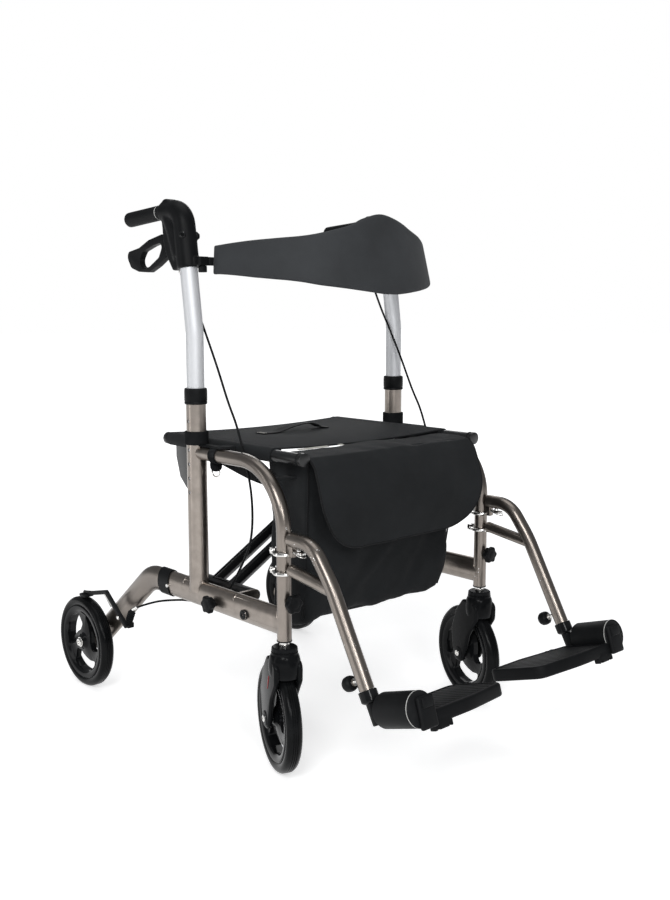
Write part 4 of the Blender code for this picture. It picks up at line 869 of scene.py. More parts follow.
def rail_welds(label, side):
    """Beads where the post and the upright stand on the rail."""
    x = side * FRAME_X
    arcs = [bead(f"welds_{label}", foot_arc(x, POST_Y, POST_RADIUS, way), 0.0013) for way in (-1, 1)]
    arcs.append(bead("weld", foot_arc(x, UPRIGHT_Y, ARCH_RADIUS + 0.0003, 1), 0.0012))
    dress(join(*arcs), "champagne_spotted", body=f"{label}_frame")


def rear_leg(label, side):
    """Curved oval leg with its axle end, stub axle, stud and bolt."""
    x = side * FRAME_X
    corners = yz(x, [(RAIL_REAR, RAIL_Z), (LEG_BEND_Y, RAIL_Z), REAR_AXLE])
    leg = oval(f"rear_leg_{label}", rounded(corners, LEG_BEND, 24))
    end = rod("leg end", (x - 0.0125, *REAR_AXLE), (x + 0.0125, *REAR_AXLE), LEG_END_RADIUS, 0.0015, 48)
    axle = rod("axle", (x, *REAR_AXLE), (side * (REAR_WHEEL_X + 0.0145), *REAR_AXLE), STUB_AXLE_RADIUS)
    dress(join(leg, end, axle), "champagne", f"rear_leg_{label}")
    stud = round_bolt(f"leg_stud_{label}", (x + side * 0.0132, *LEG_STUD), (side, 0, 0), 0.0036, 0.0030, 0.3)
    stub = round_bolt("leg stud", (x - side * 0.0128, *REAR_AXLE), (-side, 0, 0), 0.0085, 0.0045)
    dress(join(stud, stub), "steel", body=f"{label}_frame")


def frame_tubes(label, side):
    """Rail, arch, post, rear leg and handle tube of one side."""
    for build in (side_rail, front_arch, post, rail_welds, rear_leg, handle_tube):
        build(label, side)


def handle_tube(label, side):
    """Silver tube, straight below and leaning back above its bend."""
    lean = (HANDLE_TOP - HANDLE_BEND_Z) * HANDLE_LEAN
    corners = [(POST_Y, HANDLE_LOW), (POST_Y, HANDLE_BEND_Z), (POST_Y + lean, HANDLE_TOP)]
    run = rounded(yz(side * FRAME_X, corners), 0.14, 16)
    dress(pipe(f"handle_tube_{label}", run, HANDLE_RADIUS, 48), "silver", f"handle_tube_{label}")


def post_collar(label, side):
    """Stepped black collar on top of the post."""
    collar = lathe(f"post_collar_{label}", [
        (0.0166, 0.6500), (0.0192, 0.6500), (0.0203, 0.6488), (0.0207, 0.6440), (0.0207, 0.6280),
        (0.0200, 0.6262), (0.0206, 0.6250), (0.0206, 0.6226), (0.0196, 0.6212), (0.0184, 0.6212),
        (0.0184, 0.6400), (0.0166, 0.6400),
    ], (side * FRAME_X, POST_Y, 0), UPWARD, 56, closed=True)
    dress(collar, "plastic", f"post_collar_{label}")


def leg_collar(label, side):
    """Sleeve over the joint of rail and rear leg."""
    x = side * FRAME_X
    front = RAIL_REAR - LEG_COLLAR_REACH
    rear = RAIL_REAR + LEG_COLLAR_REACH
    sleeve = oval(f"rear_leg_collar_{label}", yz(x, [(front, RAIL_Z), (rear, RAIL_Z)]), 0.0022)
    carve(sleeve, oval("bore", yz(x, [(front - 0.01, RAIL_Z), (rear + 0.01, RAIL_Z)]), 0.0002))
    soften(sleeve, 0.0010, 3, 50)
    dress(sleeve, "plastic", f"rear_leg_collar_{label}")


def seat_clip(label, side):
    """Clip that carries the seat rail: band on the post, clip on the arch, catch and wire hook."""
    x = side * FRAME_X
    rest = copy_node(f"seat_rest_{label}", 0.0012, 3, 50)
    band = lathe("band", [
        (0.0181, 0.5725), (0.0208, 0.5725), (0.0217, 0.5715), (0.0217, 0.5495), (0.0208, 0.5485),
        (0.0181, 0.5485),
    ], (x, POST_Y, 0), UPWARD, 56, closed=True)
    clip = pipe("clip", yz(x, [(-0.0225, ARCH_Z), (-0.0050, ARCH_Z)]), ARCH_RADIUS + 0.0022, 40)
    carve(clip, pipe("bore", yz(x, [(-0.04, ARCH_Z), (0.02, ARCH_Z)]), ARCH_RADIUS + 0.0002, 40))
    soften(clip, 0.0008, 2, 50)
    catch = lathe("catch", [
        (0, 0.5240), (0.0070, 0.5240), (0.0100, 0.5215), (0.0112, 0.5160), (0.0104, 0.5085), (0.0070, 0.5035),
        (0, 0.5020),
    ], (x - side * 0.0100, 0.0030, 0), UPWARD, 32)
    dress(join(rest, band, clip, catch), "matt", f"seat_rest_{label}")
    wire = [(0.0100, -0.008, 0.5030), (0.0105, -0.004, 0.4960), (0.0105, 0.005, 0.4925),
            (0.0100, 0.013, 0.4955), (0.0095, 0.016, 0.5030)]
    hook = pipe(f"seat_hook_{label}", smooth_run([(x - side * a, y, z) for a, y, z in wire], 24), 0.0015, 12)
    dress(hook, "steel", body=f"{label}_frame")


def frame_collars(label, side):
    """Collars on post and leg, and the clip that carries the seat rail."""
    for build in (post_collar, leg_collar, seat_clip):
        build(label, side)


# Scissor under the seat

SEAT_RAIL_ENDS = ((-0.199, -1), (0.188, 1))
SEAT_RAIL_RADIUS = 0.0101
SEAT_CAP_REACH = 0.0045
SEAT_CAP = (
    (0, 0.0011), (0.0072, 0.0006), (0.0104, -0.0010), (0.0119, -0.0032), (0.0119, -0.0070), (0.0110, -0.0078),
    (0, -0.0078),
)


def scissor():
    """Diagonal tubes, the seat rails and their end plates."""
    for node in ("brace_a", "brace_b"):
        made = copy_node(node, 0.0009, 2, 50)
        dress(made, "black_tube", node)
    for label, side in SIDES:
        body = "brace_b" if side < 0 else "brace_a"
        x = side * SEAT_RAIL_X
        ends = [(x, end, SEAT_RAIL_Z) for end, _ in SEAT_RAIL_ENDS]
        dress(rod(f"seat_rail_{label}", *ends, SEAT_RAIL_RADIUS, 0, 36), "black_tube", body=body)
        caps = []
        for end, way in SEAT_RAIL_ENDS:
            caps.append(lathe(f"seat_caps_{label}", SEAT_CAP, (x, end + way * SEAT_CAP_REACH, SEAT_RAIL_Z),
                              (0, way, 0), 40))
        dress(join(*caps), "plastic", body=body)


# Wheels and forks

WHEEL_RADIUS = 0.095
TYRE_HALF = 0.014
TYRE_INNER = 0.0778
GROOVE_PITCH = 0.0036
GROOVE_WIDTH = 0.0011
GROOVE_DEPTH = 0.0011
SPOKE_COUNT = 3
FIRST_OPENING = 0
OPENING = (
    (0.0370, 84), (0.0625, 68), (0.0640, 48), (0.0640, 26), (0.0640, 4), (0.0635, -17), (0.0550, -21),
    (0.0440, -4), (0.0345, 14), (0.0285, 36), (0.0255, 60),
)
FORK_BLADE = 0.0095
FORK_INSIDE = TYRE_HALF + 0.0018
NECK_TOP = 0.2397
NECK = NECK_TOP - 0.0085
CASTER_TURNS = {-1: math.radians(22), 1: math.radians(15)}


def tyre(name, centre, grooves, steps):
    """Rounded tyre with grooves in its tread."""
    half = TYRE_HALF
    side = [(TYRE_INNER, half - 0.0030), (TYRE_INNER + 0.0025, half - 0.0012), (0.0850, half),
            (0.0885, half - 0.0004), (0.0918, half - 0.0024), (0.0938, half - 0.0052), (WHEEL_RADIUS, half - 0.0075)]
    profile = list(side)
    pitch = GROOVE_PITCH
    width = GROOVE_WIDTH
    for index in range(grooves):
        middle = pitch * ((grooves - 1) / 2 - index)
        low = WHEEL_RADIUS - GROOVE_DEPTH
        profile += [(WHEEL_RADIUS, middle + width / 2), (low, middle + width * 0.3),
                    (low, middle - width * 0.3), (WHEEL_RADIUS, middle - width / 2)]
    profile += [(radius, -height) for radius, height in reversed(side)]
    return lathe(name, profile, centre, (1, 0, 0), steps, closed=True, angle=35)


def opening_outline(angle):
    """Outline of the swept opening between two spokes, in the plane of the wheel."""
    corners = []
    for radius, turn in OPENING:
        turn = angle + math.radians(turn)
        corners.append((radius * math.cos(turn), radius * math.sin(turn)))
    return flat_loop(corners, 0.006, 5)


def rim(name, centre, hole, steps):
    """Dished rim with three broad spokes, a raised hub and a lip under the tyre."""
    half = TYRE_HALF
    outer = TYRE_INNER - 0.0002
    face = [
        (hole, half - 0.0015), (0.0105, half - 0.0015), (0.0130, half - 0.0032), (0.0155, 0.0082), (0.0200, 0.0062),
        (0.0560, 0.0058), (0.0615, 0.0082), (0.0660, half - 0.0026), (0.0700, half - 0.0009), (0.0755, half - 0.0007),
        (outer, half - 0.0022),
    ]
    profile = face + [(radius, -height) for radius, height in reversed(face)]
    made = lathe(name, profile, centre, (1, 0, 0), steps, closed=True)
    for index in range(SPOKE_COUNT):
        angle = math.radians(FIRST_OPENING + 360 * index / SPOKE_COUNT)
        outline = [(centre[1] + a, centre[2] + b) for a, b in opening_outline(angle)]
        carve(made, slab("opening", outline, "YZ", centre[0], 0.05))
    return soften(made, 0.0012, 2, 50)


def round_bolt(name, centre, axis, radius, tall, socket=0.45):
    """Domed bolt head with a hollow socket, standing on a face."""
    profile = [
        (0, tall * 0.45), (radius * socket, tall * 0.45), (radius * socket, tall * 0.93), (radius * 0.62, tall),
        (radius * 0.86, tall * 0.84), (radius, tall * 0.5), (radius, -tall * 0.2), (0, -tall * 0.2),
    ]
    return lathe(name, profile, centre, axis, 24)


def washer(name, centre, axis, radius, tall):
    """Thin ring under a bolt head."""
    profile = [(0, tall), (radius * 0.93, tall), (radius, tall * 0.7), (radius, -tall * 0.3), (0, -tall * 0.3)]
    return lathe(name, profile, centre, axis, 24)


def rear_wheels(label, side, sizes):
    """Rear tyres and rims, with the axle bolts."""
    centre = (side * REAR_WHEEL_X, *REAR_AXLE)
    made = tyre(f"tyre_rear_{label}", centre, sizes.tyre_grooves, sizes.wheel_steps)
    dress(made, "rubber", f"rear_tyre_{label}")
    made = rim(f"rim_rear_{label}", centre, 0.0068, sizes.wheel_steps)
    dress(made, "glossy", f"rear_rim_{label}")
    face = centre[0] + side * (TYRE_HALF + 0.0006)
    bolt = round_bolt(f"axle_bolt_rear_{label}", (face + side * 0.001, *REAR_AXLE), (side, 0, 0), 0.0085, 0.0042)
    disc = washer("washer", (face, *REAR_AXLE), (side, 0, 0), 0.0105, 0.0012)
    dress(join(bolt, disc), "steel", body=f"{label}_frame")


def swivel(obj, side):
    """Turn a caster's piece about its swivel axis, to the way it stands in the photograph."""
    middle = Matrix.Translation((side * FRAME_X, UPRIGHT_Y, 0))
    obj.data.transform(middle @ Matrix.Rotation(-CASTER_TURNS[side], 4, "Z") @ middle.inverted())
    return obj


def fork_leg(middle, hub):
    """One leg of the caster's fork."""
    y0 = UPRIGHT_Y
    top = 2 * WHEEL_RADIUS
    corners = [
        (y0 - 0.0245, top + 0.018), (y0 + 0.024, top + 0.022), (y0 + 0.047, top - 0.006),
        (y0 + 0.062, top - 0.048), (hub[0] + 0.0215, hub[1] + 0.008), (hub[0] + 0.0120, hub[1] - 0.0175),
        (hub[0] - 0.0120, hub[1] - 0.0175), (hub[0] - 0.0215, hub[1] + 0.008), (hub[0] - 0.0330, hub[1] + 0.045),
        (y0 - 0.0235, top - 0.016),
    ]
    radii = [0.014, 0.014, 0.03, 0.04, 0.025, 0.014, 0.014, 0.025, 0.04, 0.02]
    return slab("leg", flat_loop(corners, radii, 5), "YZ", middle, FORK_BLADE)


def fork(label, side):
    """Domed crown with its two legs and the eyes of the axle."""
    x = side * FRAME_X
    crown = lathe(f"fork_{label}", [
        (0, NECK + 0.0005), (0.0195, NECK + 0.0005), (0.0218, NECK - 0.0010), (0.0226, NECK - 0.0055),
        (0.0214, NECK - 0.0064), (0.0214, NECK - 0.0074), (0.0228, NECK - 0.0084), (0.0230, NECK - 0.0120),
        (0.0240, NECK - 0.0135), (0.0254, NECK - 0.0170), (0.0268, NECK - 0.0230),
        (0.0276, NECK - 0.0320), (0.0270, NECK - 0.0430), (0.0248, NECK - 0.0520), (0, NECK - 0.0520),
    ], (x, UPRIGHT_Y, 0), UPWARD, 48)
    legs = [fork_leg(x + way * (FORK_INSIDE + FORK_BLADE / 2), CASTER_AXLE) for way in (-1, 1)]
    for leg in legs:
        soften(leg, 0.0042, 4, 50)
    carve(crown, rod("clearance", (x - FORK_INSIDE, *CASTER_AXLE), (x + FORK_INSIDE, *CASTER_AXLE),
                     WHEEL_RADIUS + 0.0032, sides=96))
    shade(crown, 35)
    eyes = []
    for way in (-1, 1):
        face = x + way * (FORK_INSIDE + FORK_BLADE)
        eyes.append(washer("eye", (face, *CASTER_AXLE), (way, 0, 0), 0.0128, 0.0012))
    dress(swivel(join(crown, *legs, *eyes), side), "fork", f"caster_fork_{label}")


def fork_fittings(label, side):
    """Bright neck ring, axle bolts and the red patch on the outer leg."""
    x = side * FRAME_X
    body = f"caster_{label}"
    ring = lathe(f"neck_ring_{label}", [
        (0, NECK_TOP), (0.0078, NECK_TOP), (0.0086, NECK_TOP - 0.0012), (0.0086, NECK_TOP - 0.0036),
        (0.0078, NECK_TOP - 0.0046), (0.0090, NECK_TOP - 0.0056), (0.0090, NECK - 0.0005), (0, NECK - 0.0005),
    ], (x, UPRIGHT_Y, 0), UPWARD, 40)
    dress(swivel(ring, side), "steel", body=body)
    bolts = []
    for way in (-1, 1):
        face = x + way * (FORK_INSIDE + FORK_BLADE + 0.0010)
        bolts.append(round_bolt(f"axle_bolt_front_{label}", (face, *CASTER_AXLE), (way, 0, 0), 0.0062, 0.0030))
    dress(swivel(join(*bolts), side), "steel", body=body)
    corners = [(-0.1830, 0.155), (-0.1920, 0.180), (-0.1855, 0.179), (-0.1770, 0.152)]
    patch = slab(f"patch_{label}", flat_loop(corners, 0.004, 4), "YZ", x + side * (FORK_INSIDE + FORK_BLADE), 0.0014)
    dress(swivel(soften(patch, 0.0005, 2, 40), side), "red", body=body)


def casters(label, side, sizes):
    """Fork, fittings and wheel of one caster."""
    fork(label, side)
    fork_fittings(label, side)
    centre = (side * FRAME_X, *CASTER_AXLE)
    made = tyre(f"tyre_front_{label}", centre, sizes.tyre_grooves, sizes.wheel_steps)
    dress(swivel(made, side), "rubber", f"caster_tyre_{label}")
    made = rim(f"rim_front_{label}", centre, 0.0046, sizes.wheel_steps)
    dress(swivel(made, side), "glossy", f"caster_rim_{label}")


# Handles, levers and cables

HEAD_THICK = 0.042
GRIP_START = Vector((0.140, 0.965))
GRIP_END = Vector((0.257, 0.958))
GRIP_RADIUS = 0.0135
LEVER_PIVOT = (0.113, 0.913)
LEVER_THICK = 0.012
BACKREST_PIVOT = (0.036, 0.874)
CABLE_X = 0.2345
CABLE_RADIUS = 0.0021
HEAD_RADIUS = 0.0200
HEAD_WEB_THICK = 0.027
GRIP_RINGS = (-0.0050, 0.0110)
HEAD_WEB = (
    (0.0600, 0.8640), (0.0935, 0.8580), (0.1030, 0.8710), (0.1140, 0.8850), (0.1235, 0.9130),
    (0.1255, 0.9350), (0.1300, 0.9600), (0.0900, 0.9600), (0.0660, 0.9200),
)
LEVER_OUTER = (
    (0.1225, 0.9165), (0.135, 0.926), (0.1835, 0.917), (0.2175, 0.904), (0.256, 0.898), (0.259, 0.8865),
    (0.2465, 0.868), (0.2195, 0.860), (0.186, 0.858), (0.156, 0.869), (0.124, 0.885), (0.1165, 0.8985),
    (0.1055, 0.906), (0.1040, 0.915), (0.112, 0.922),
)
LEVER_WINDOW = (
    (0.133, 0.912), (0.171, 0.906), (0.204, 0.897), (0.216, 0.883), (0.2145, 0.872), (0.2025, 0.865),
    (0.183, 0.868), (0.150, 0.884),
)


def pebble(obj, voxel, rounds):
    """Turn hard solids into one soft moulded form."""
    pick(obj)
    remesh = obj.modifiers.new("Skin", "REMESH")
    remesh.mode = "VOXEL"
    remesh.voxel_size = voxel
    smooth = obj.modifiers.new("Soften", "SMOOTH")
    smooth.factor = 0.5
    smooth.iterations = rounds
    apply_all(obj)
    return shade(obj, 180)


def handle_head(label, side):
    """Elbow on the tube, with a web for the lever, a thumb rest, a lug and a round nose."""
    x = side * FRAME_X
    foot = 0.8620
    low = (POST_Y + (foot - HANDLE_BEND_Z) * HANDLE_LEAN, foot)
    path = rounded(yz(x, [low, (0.0775, 0.9635), (0.1315, 0.9640)]), 0.030, 10)
    head = pipe(f"handle_head_{label}", path, HEAD_RADIUS, 40)
    web = slab("web", flat_loop(HEAD_WEB, 0.004), "YZ", x, HEAD_WEB_THICK)
    flesh = pipe("flesh", rounded(yz(x, [(0.0800, 0.8820), (0.0990, 0.9300), (0.1160, 0.9600)]), 0.03, 6), 0.0182, 32)
    thumb = rod("thumb rest", (x - 0.0135, 0.1180, 0.9735), (x + 0.0135, 0.1180, 0.9735), 0.0130, 0.003)
    lug = block("lug", (x - side * 0.0208, 0.0285, 0.8660), (x, 0.0600, 0.8820))
    out = Vector((-side * 0.739, -0.673, 0))
    middle = Vector((x, 0.0704, 0.9185))
    nose = rod("nose", middle + out * 0.0150, middle + out * 0.0252, 0.0060, 0.002)
    pebble(join(head, web, flesh, thumb, lug, nose), 0.0014, 14)
    top = 0.905
    carve(head, rod("socket", (x, POST_Y + 0.03 * HANDLE_LEAN, HANDLE_BEND_Z + 0.03),
                    (x, POST_Y + (top - HANDLE_BEND_Z) * HANDLE_LEAN, top), HANDLE_RADIUS + 0.0003, sides=48))
    carve(head, block("slot", (x - 0.0068, 0.098, 0.850), (x + 0.0068, 0.170, 0.9415)))
    shade(head, 45)
    dress(head, "plastic", f"handle_head_{label}")


def head_fittings(label, side):
    """Bolts and plugs on both faces of the head, and the cable's adjuster under it."""
    x = side * FRAME_X
    body = f"handle_{label}"
    name = f"head_bolts_{label}"
    bolts = []
    for way in (-1, 1):
        out = (way, 0, 0)
        bolts += [
            round_bolt(name, (x + way * 0.0148, 0.0579, 0.9200), (way * 0.765, -0.645, 0), 0.0062, 0.0030, 0.5),
            round_bolt(name, (x + way * 0.0104, *LEVER_PIVOT), out, 0.0050, 0.0022, 0.5),
            washer("plug", (x + way * 0.0106, 0.1020, 0.9300), out, 0.0034, 0.0014),
        ]
    dress(join(*bolts), "glossy", body=body)
    aim = Vector((0, -0.26, -0.97)).normalized()
    barrel = lathe(f"adjuster_{label}", [
        (0, 0), (0.0048, 0), (0.0052, 0.0012), (0.0052, 0.0075), (0.0043, 0.0082), (0.0043, 0.0095),
        (0.0050, 0.0100), (0.0050, 0.0130), (0.0034, 0.0140), (0.0034, 0.0170), (0, 0.0170),
    ], Vector((x - side * 0.008, 0.1005, 0.8680)), aim, 24)
    dress(barrel, "steel", body=body)


def grip(label, side):
    """Soft grip with two thin pale rings and a rounded end."""
    x = side * FRAME_X
    start = Vector((x, *GRIP_START))
    axis = Vector((x, *GRIP_END)) - start
    length = axis.length
    radius = GRIP_RADIUS
    profile = [(0.0096, -0.0120), (radius - 0.0010, -0.0120), (radius, -0.0110)]
    for centre in GRIP_RINGS:
        profile += [(radius, centre - 0.0016), (radius - 0.0009, centre - 0.0010), (radius - 0.0009, centre + 0.0010),
                    (radius, centre + 0.0016)]
    profile += [(radius + 0.0002, 0.075), (radius + 0.0004, length - 0.010), (radius + 0.0002, length - 0.0030),
                (radius - 0.0010, length - 0.0008), (radius - 0.0026, length), (0.0060, length - 0.0002),
                (0.0052, length - 0.0016), (0, length - 0.0018)]
    made = lathe(f"grip_{label}", profile, start, axis, 56)
    dress(made, "grip", f"grip_{label}")
    rings = []
    for centre in GRIP_RINGS:
        rings.append(lathe(f"grip_rings_{label}", [
            (radius - 0.0012, centre - 0.0008), (radius - 0.0002, centre - 0.0007),
            (radius - 0.0002, centre + 0.0007), (radius - 0.0012, centre + 0.0008),
        ], start, axis, 56, closed=True))
    dress(join(*rings), "pale_ring", body=f"handle_{label}")


def brake_lever(label, side):
    """Loop lever with softly rounded edges."""
    x = side * FRAME_X
    lever = slab(f"brake_lever_{label}", flat_loop(LEVER_OUTER, 0.014), "YZ", x, LEVER_THICK)
    carve(lever, slab("window", flat_loop(LEVER_WINDOW, 0.012), "YZ", x, 0.03))
    carve(lever, rod("pin hole", (x - 0.02, *LEVER_PIVOT), (x + 0.02, *LEVER_PIVOT), 0.0035))
    soften(lever, 0.0034, 4, 50)
    dress(lever, "plastic", f"brake_lever_{label}")


def handles(label, side):
    """Head, grip and brake lever."""
    for build in (handle_head, head_fittings, grip, brake_lever):
        build(label, side)


def cables(label, side):
    """Brake cables from the heads, inside the arches, to the brake housings."""
    inner = [
        (0.0995, 0.8535), (0.088, 0.832), (0.066, 0.790), (0.0398, 0.746), (0.008, 0.690), (-0.0232, 0.630),
        (-0.047, 0.590), (-0.064, 0.550), (-0.078, 0.512), (-0.088, 0.470), (-0.090, 0.425), (-0.083, 0.386),
        (-0.064, 0.350), (-0.045, 0.322), (-0.022, 0.290), (0.005, 0.262), (0.040, 0.246), (0.080, 0.2425),
        (0.115, 0.239), (0.155, 0.231),
    ]
    points = yz(side * CABLE_X, inner)
    points.insert(0, (side * (FRAME_X - 0.008), 0.1005, 0.8620))
    points += [(side * 0.2480, 0.195, 0.2225), (side * 0.2650, 0.2260, 0.2110), (side * 0.2760, 0.2440, 0.2020)]
    cable = pipe(f"brake_cable_{label}", smooth_run(points, 110), CABLE_RADIUS, 14)
    bend = (f"{label}_frame", f"handle_{label}", (0, 0, 0.40), (0, 0, 0.83))
    dress(cable, "cable", f"brake_cable_{label}", bend=bend)
    start = (side * 0.2722, 0.2375, 0.2062)
    end = (side * 0.2768, 0.2468, 0.1998)
    ferrule = rod(f"cable_ferrule_{label}", start, end, 0.0033, 0.0006, 24)
    dress(ferrule, "steel", body=f"{label}_frame")


# Backrest

def backrest_arms(label, side):
    """Bar from the head to the end of the pad, with its pin and its catch."""
    y, z = BACKREST_PIVOT
    root = side * (FRAME_X - HEAD_THICK / 2 - 0.0004)
    arm = block(f"backrest_arm_{label}", (root, 0.0304, z - 0.0074), (side * 0.2100, 0.0395, z + 0.0074), 0.0016, 3)
    pin = rod("pin", (root, y, z), (side * 0.2405, y, z), 0.0038)
    dress(join(arm, pin), "plastic", f"backrest_arm_{label}")
    catch = block(f"backrest_catch_{label}", (side * 0.2350, 0.0310, 0.8545), (side * 0.2470, 0.0430, 0.8660),
                  0.0016, 3)
    dress(catch, "plastic", body=f"handle_{label}")


# Brakes on the rear legs

BRAKE_PIVOT = (0.283, 0.178)
BELLOWS_X = 0.2764
BELLOWS_FOOT = (0.2670, 0.1640)
BELLOWS_TOP = (0.2468, 0.1998)
BELLOWS_RIBS = 7
ARM_RUN = ((0.4260, 0.1990), (0.3960, 0.2040), (0.3340, 0.2190), (0.2570, 0.1625))
ARM_HALF = 0.0042


def bar_outline(points, half):
    """Outline of a flat bar that follows points, mitred at its corners."""
    sides = ([], [])
    for index, point in enumerate(points):
        before = Vector(points[max(0, index - 1)])
        after = Vector(points[min(len(points) - 1, index + 1)])
        here = Vector(point)
        first = (here - before).normalized() if index else (after - here).normalized()
        second = (after - here).normalized() if index < len(points) - 1 else first
        normal = Vector((-first.y - second.y, first.x + second.x)).normalized()
        reach = half / max(0.5, normal.dot(Vector((-first.y, first.x))))
        sides[0].append(tuple(here + normal * reach))
        sides[1].append(tuple(here - normal * reach))
    return sides[0] + sides[1][::-1]


def brake_housing(label, side):
    """Ribbed bellows on its holder, with the screws and the small plate beside it."""
    foot = Vector((side * BELLOWS_X, *BELLOWS_FOOT))
    axis = (Vector((side * BELLOWS_X, *BELLOWS_TOP)) - foot).normalized()
    profile = [(0, 0), (0.0066, 0), (0.0072, 0.0015)]
    for index in range(BELLOWS_RIBS):
        start = 0.0030 + 0.0048 * index
        profile += [(0.0072, start), (0.0078, start + 0.0012), (0.0072, start + 0.0024), (0.0058, start + 0.0030),
                    (0.0058, start + 0.0040)]
    profile += [(0.0050, 0.0380), (0.0036, 0.0405), (0, 0.0405)]
    bellows = lathe(f"brake_housing_{label}", profile, foot, axis, 32)
    holder = block("holder", (side * (FRAME_X + RAIL_WIDE / 2), 0.2600, 0.1580), (side * 0.2800, 0.2760, 0.1690),
                   0.002, 3)
    dress(join(bellows, holder), "fork", f"brake_housing_{label}")
    screw = round_bolt(f"brake_screws_{label}", (side * 0.2798, 0.2700, 0.1640), (side, 0, 0), 0.0036, 0.0024)
    pivot = round_bolt("pivot bolt", (side * (REAR_WHEEL_X + 0.0044), *BRAKE_PIVOT), (side, 0, 0), 0.0040, 0.0026)
    corners = [(0.3660, 0.2050), (0.3470, 0.2105), (0.3330, 0.1880), (0.3400, 0.1840)]
    tab = slab("tab", corners, "YZ", side * 0.2720, 0.0026)
    dress(join(tab, screw, pivot), "steel", body=f"{label}_frame")


def brake_arm(label, side):
    """Thin bent bar with the shoe over the tyre and its two rivets."""
    x = side * REAR_WHEEL_X
    outline = flat_loop(bar_outline(ARM_RUN, ARM_HALF), [0.003, 0.004, 0.006, 0.003, 0.003, 0.003, 0.003, 0.003])
    arm = slab(f"brake_arm_{label}", outline, "YZ", x, 0.0072)
    soften(arm, 0.0010, 2, 50)
    shoe = block("shoe", (x - 0.0105, 0.4060, 0.1932), (x + 0.0105, 0.4300, 0.1990), 0.0018, 3)
    dress(join(arm, shoe), "plastic", f"brake_arm_{label}")
    rivets = [round_bolt(f"shoe_rivets_{label}", (x, y, 0.2030), UPWARD, 0.0026, 0.0016, 0.3)
              for y in (0.4120, 0.4240)]
    dress(join(*rivets), "steel", body=f"brake_arm_{label}")


def brakes(label, side):
    """Housing and arm of one rear wheel's brake."""
    brake_housing(label, side)
    brake_arm(label, side)


# Footrests

HANGER_RADIUS = 0.01225
HANGER_END = Vector((-0.3966, 0.2110))
HANGER_KNEE = Vector((-0.3143, 0.3600))
HANGER_LINE = Vector((0, *(HANGER_END - HANGER_KNEE))).normalized()
HANGER_TOP = 0.4165
HANGER_HOLES = 4
HANGER_FIRST_HOLE = 0.0482
HANGER_HOLE_PITCH = 0.0262
STRUT_Z = 0.3650
HANGER_RINGS = ((0.391, HANGER_TOP), (0.358, STRUT_Z))
SLIDER_RADIUS = 0.0092
BARREL_REAR = (-0.4247, 0.1869)
BARREL_TILT = math.radians(18)
FORWARD = Vector((0, -math.cos(BARREL_TILT), math.sin(BARREL_TILT)))
UP = Vector((0, math.sin(BARREL_TILT), math.cos(BARREL_TILT)))
PLATE_REACH = 0.205
PLATE_FRONT = 0.0885
PLATE_DROP = 0.0085
PLATE_THICK = 0.021
PLATE_RIBS = 13


def along_hanger(x, distance, aside=0.0):
    """Point on the straight lower part, measured up from its end, and to its rear side."""
    rear = Vector((0, -HANGER_LINE.z, HANGER_LINE.y))
    return Vector((x, *HANGER_END)) - HANGER_LINE * distance + rear * aside


def hanger_tube(label, side):
    """Bent tube with its row of holes, the strut and the two tongues of the rings."""
    x = side * FRAME_X
    corners = [(UPRIGHT_Y - 0.0185, HANGER_TOP), (-0.2700, HANGER_TOP), HANGER_KNEE, HANGER_END]
    tube = pipe(f"footrest_hanger_{label}", rounded(yz(x, corners), [0, 0.075, 0.25, 0], 24), HANGER_RADIUS, 40)
    tools = [rod("bore", along_hanger(x, -0.01), along_hanger(x, 0.125), SLIDER_RADIUS + 0.0006)]
    for index in range(HANGER_HOLES):
        distance = HANGER_FIRST_HOLE + HANGER_HOLE_PITCH * index
        tools.append(rod("hole", along_hanger(x, distance, 0.007), along_hanger(x, distance, 0.016), 0.0031,
                         sides=20))
    carve(tube, *tools)
    shade(tube)
    pieces = [rod("strut", (x, UPRIGHT_Y - 0.0185, STRUT_Z), along_hanger(x, 0.158), 0.0100, sides=36)]
    for ring_z, tube_z in HANGER_RINGS:
        pieces.append(block("tongue", (x - 0.0055, UPRIGHT_Y - 0.0270, min(ring_z - 0.0034, tube_z)),
                            (x + 0.0055, UPRIGHT_Y - 0.0140, tube_z + 0.004), 0.0015, 3))
    dress(join(tube, *pieces), "champagne_spotted", f"footrest_hanger_{label}")


def hanger_clamps(label, side):
    """Bright rings round the upright, each with two ears and their bolt."""
    x = side * FRAME_X
    clamps = []
    for z, _ in HANGER_RINGS:
        clamps.append(lathe(f"hanger_clamps_{label}", [
            (0.0128, 0.0034), (0.0170, 0.0036), (0.0196, 0.0022), (0.0202, 0.0), (0.0196, -0.0022),
            (0.0170, -0.0036), (0.0128, -0.0034),
        ], (x, UPRIGHT_Y, z), UPWARD, 48, closed=True))
        for way in (-1, 1):
            clamps.append(block("ear", (x + way * 0.0042, UPRIGHT_Y + 0.0150, z - 0.0048),
                                (x + way * 0.0072, UPRIGHT_Y + 0.0285, z + 0.0060), 0.0008, 2))
        bolt = (UPRIGHT_Y + 0.0235, z + 0.0010)
        clamps.append(rod("ear bolt", (x - 0.0098, *bolt), (x + 0.0098, *bolt), 0.0030, 0.0004, 20))
    dress(join(*clamps), "steel", body=f"footrest_hanger_{label}")


def latch_loop(label, side):
    """Catch under the top tube, with a wire loop for the thumb."""
    x = side * FRAME_X
    latch = copy_node(f"swing_latch_{label}", 0.0006, 2, 50)
    loop = smooth_run([
        (x - 0.0070, -0.234, 0.3985), (x - 0.0080, -0.241, 0.3955), (x - 0.0055, -0.248, 0.3930),
        (x, -0.2510, 0.3920), (x + 0.0055, -0.248, 0.3930), (x + 0.0080, -0.241, 0.3955),
        (x + 0.0070, -0.234, 0.3985),
    ], 48)
    wire = pipe("loop", loop, 0.0009, 12)
    dress(join(latch, wire), "steel", f"swing_latch_{label}")


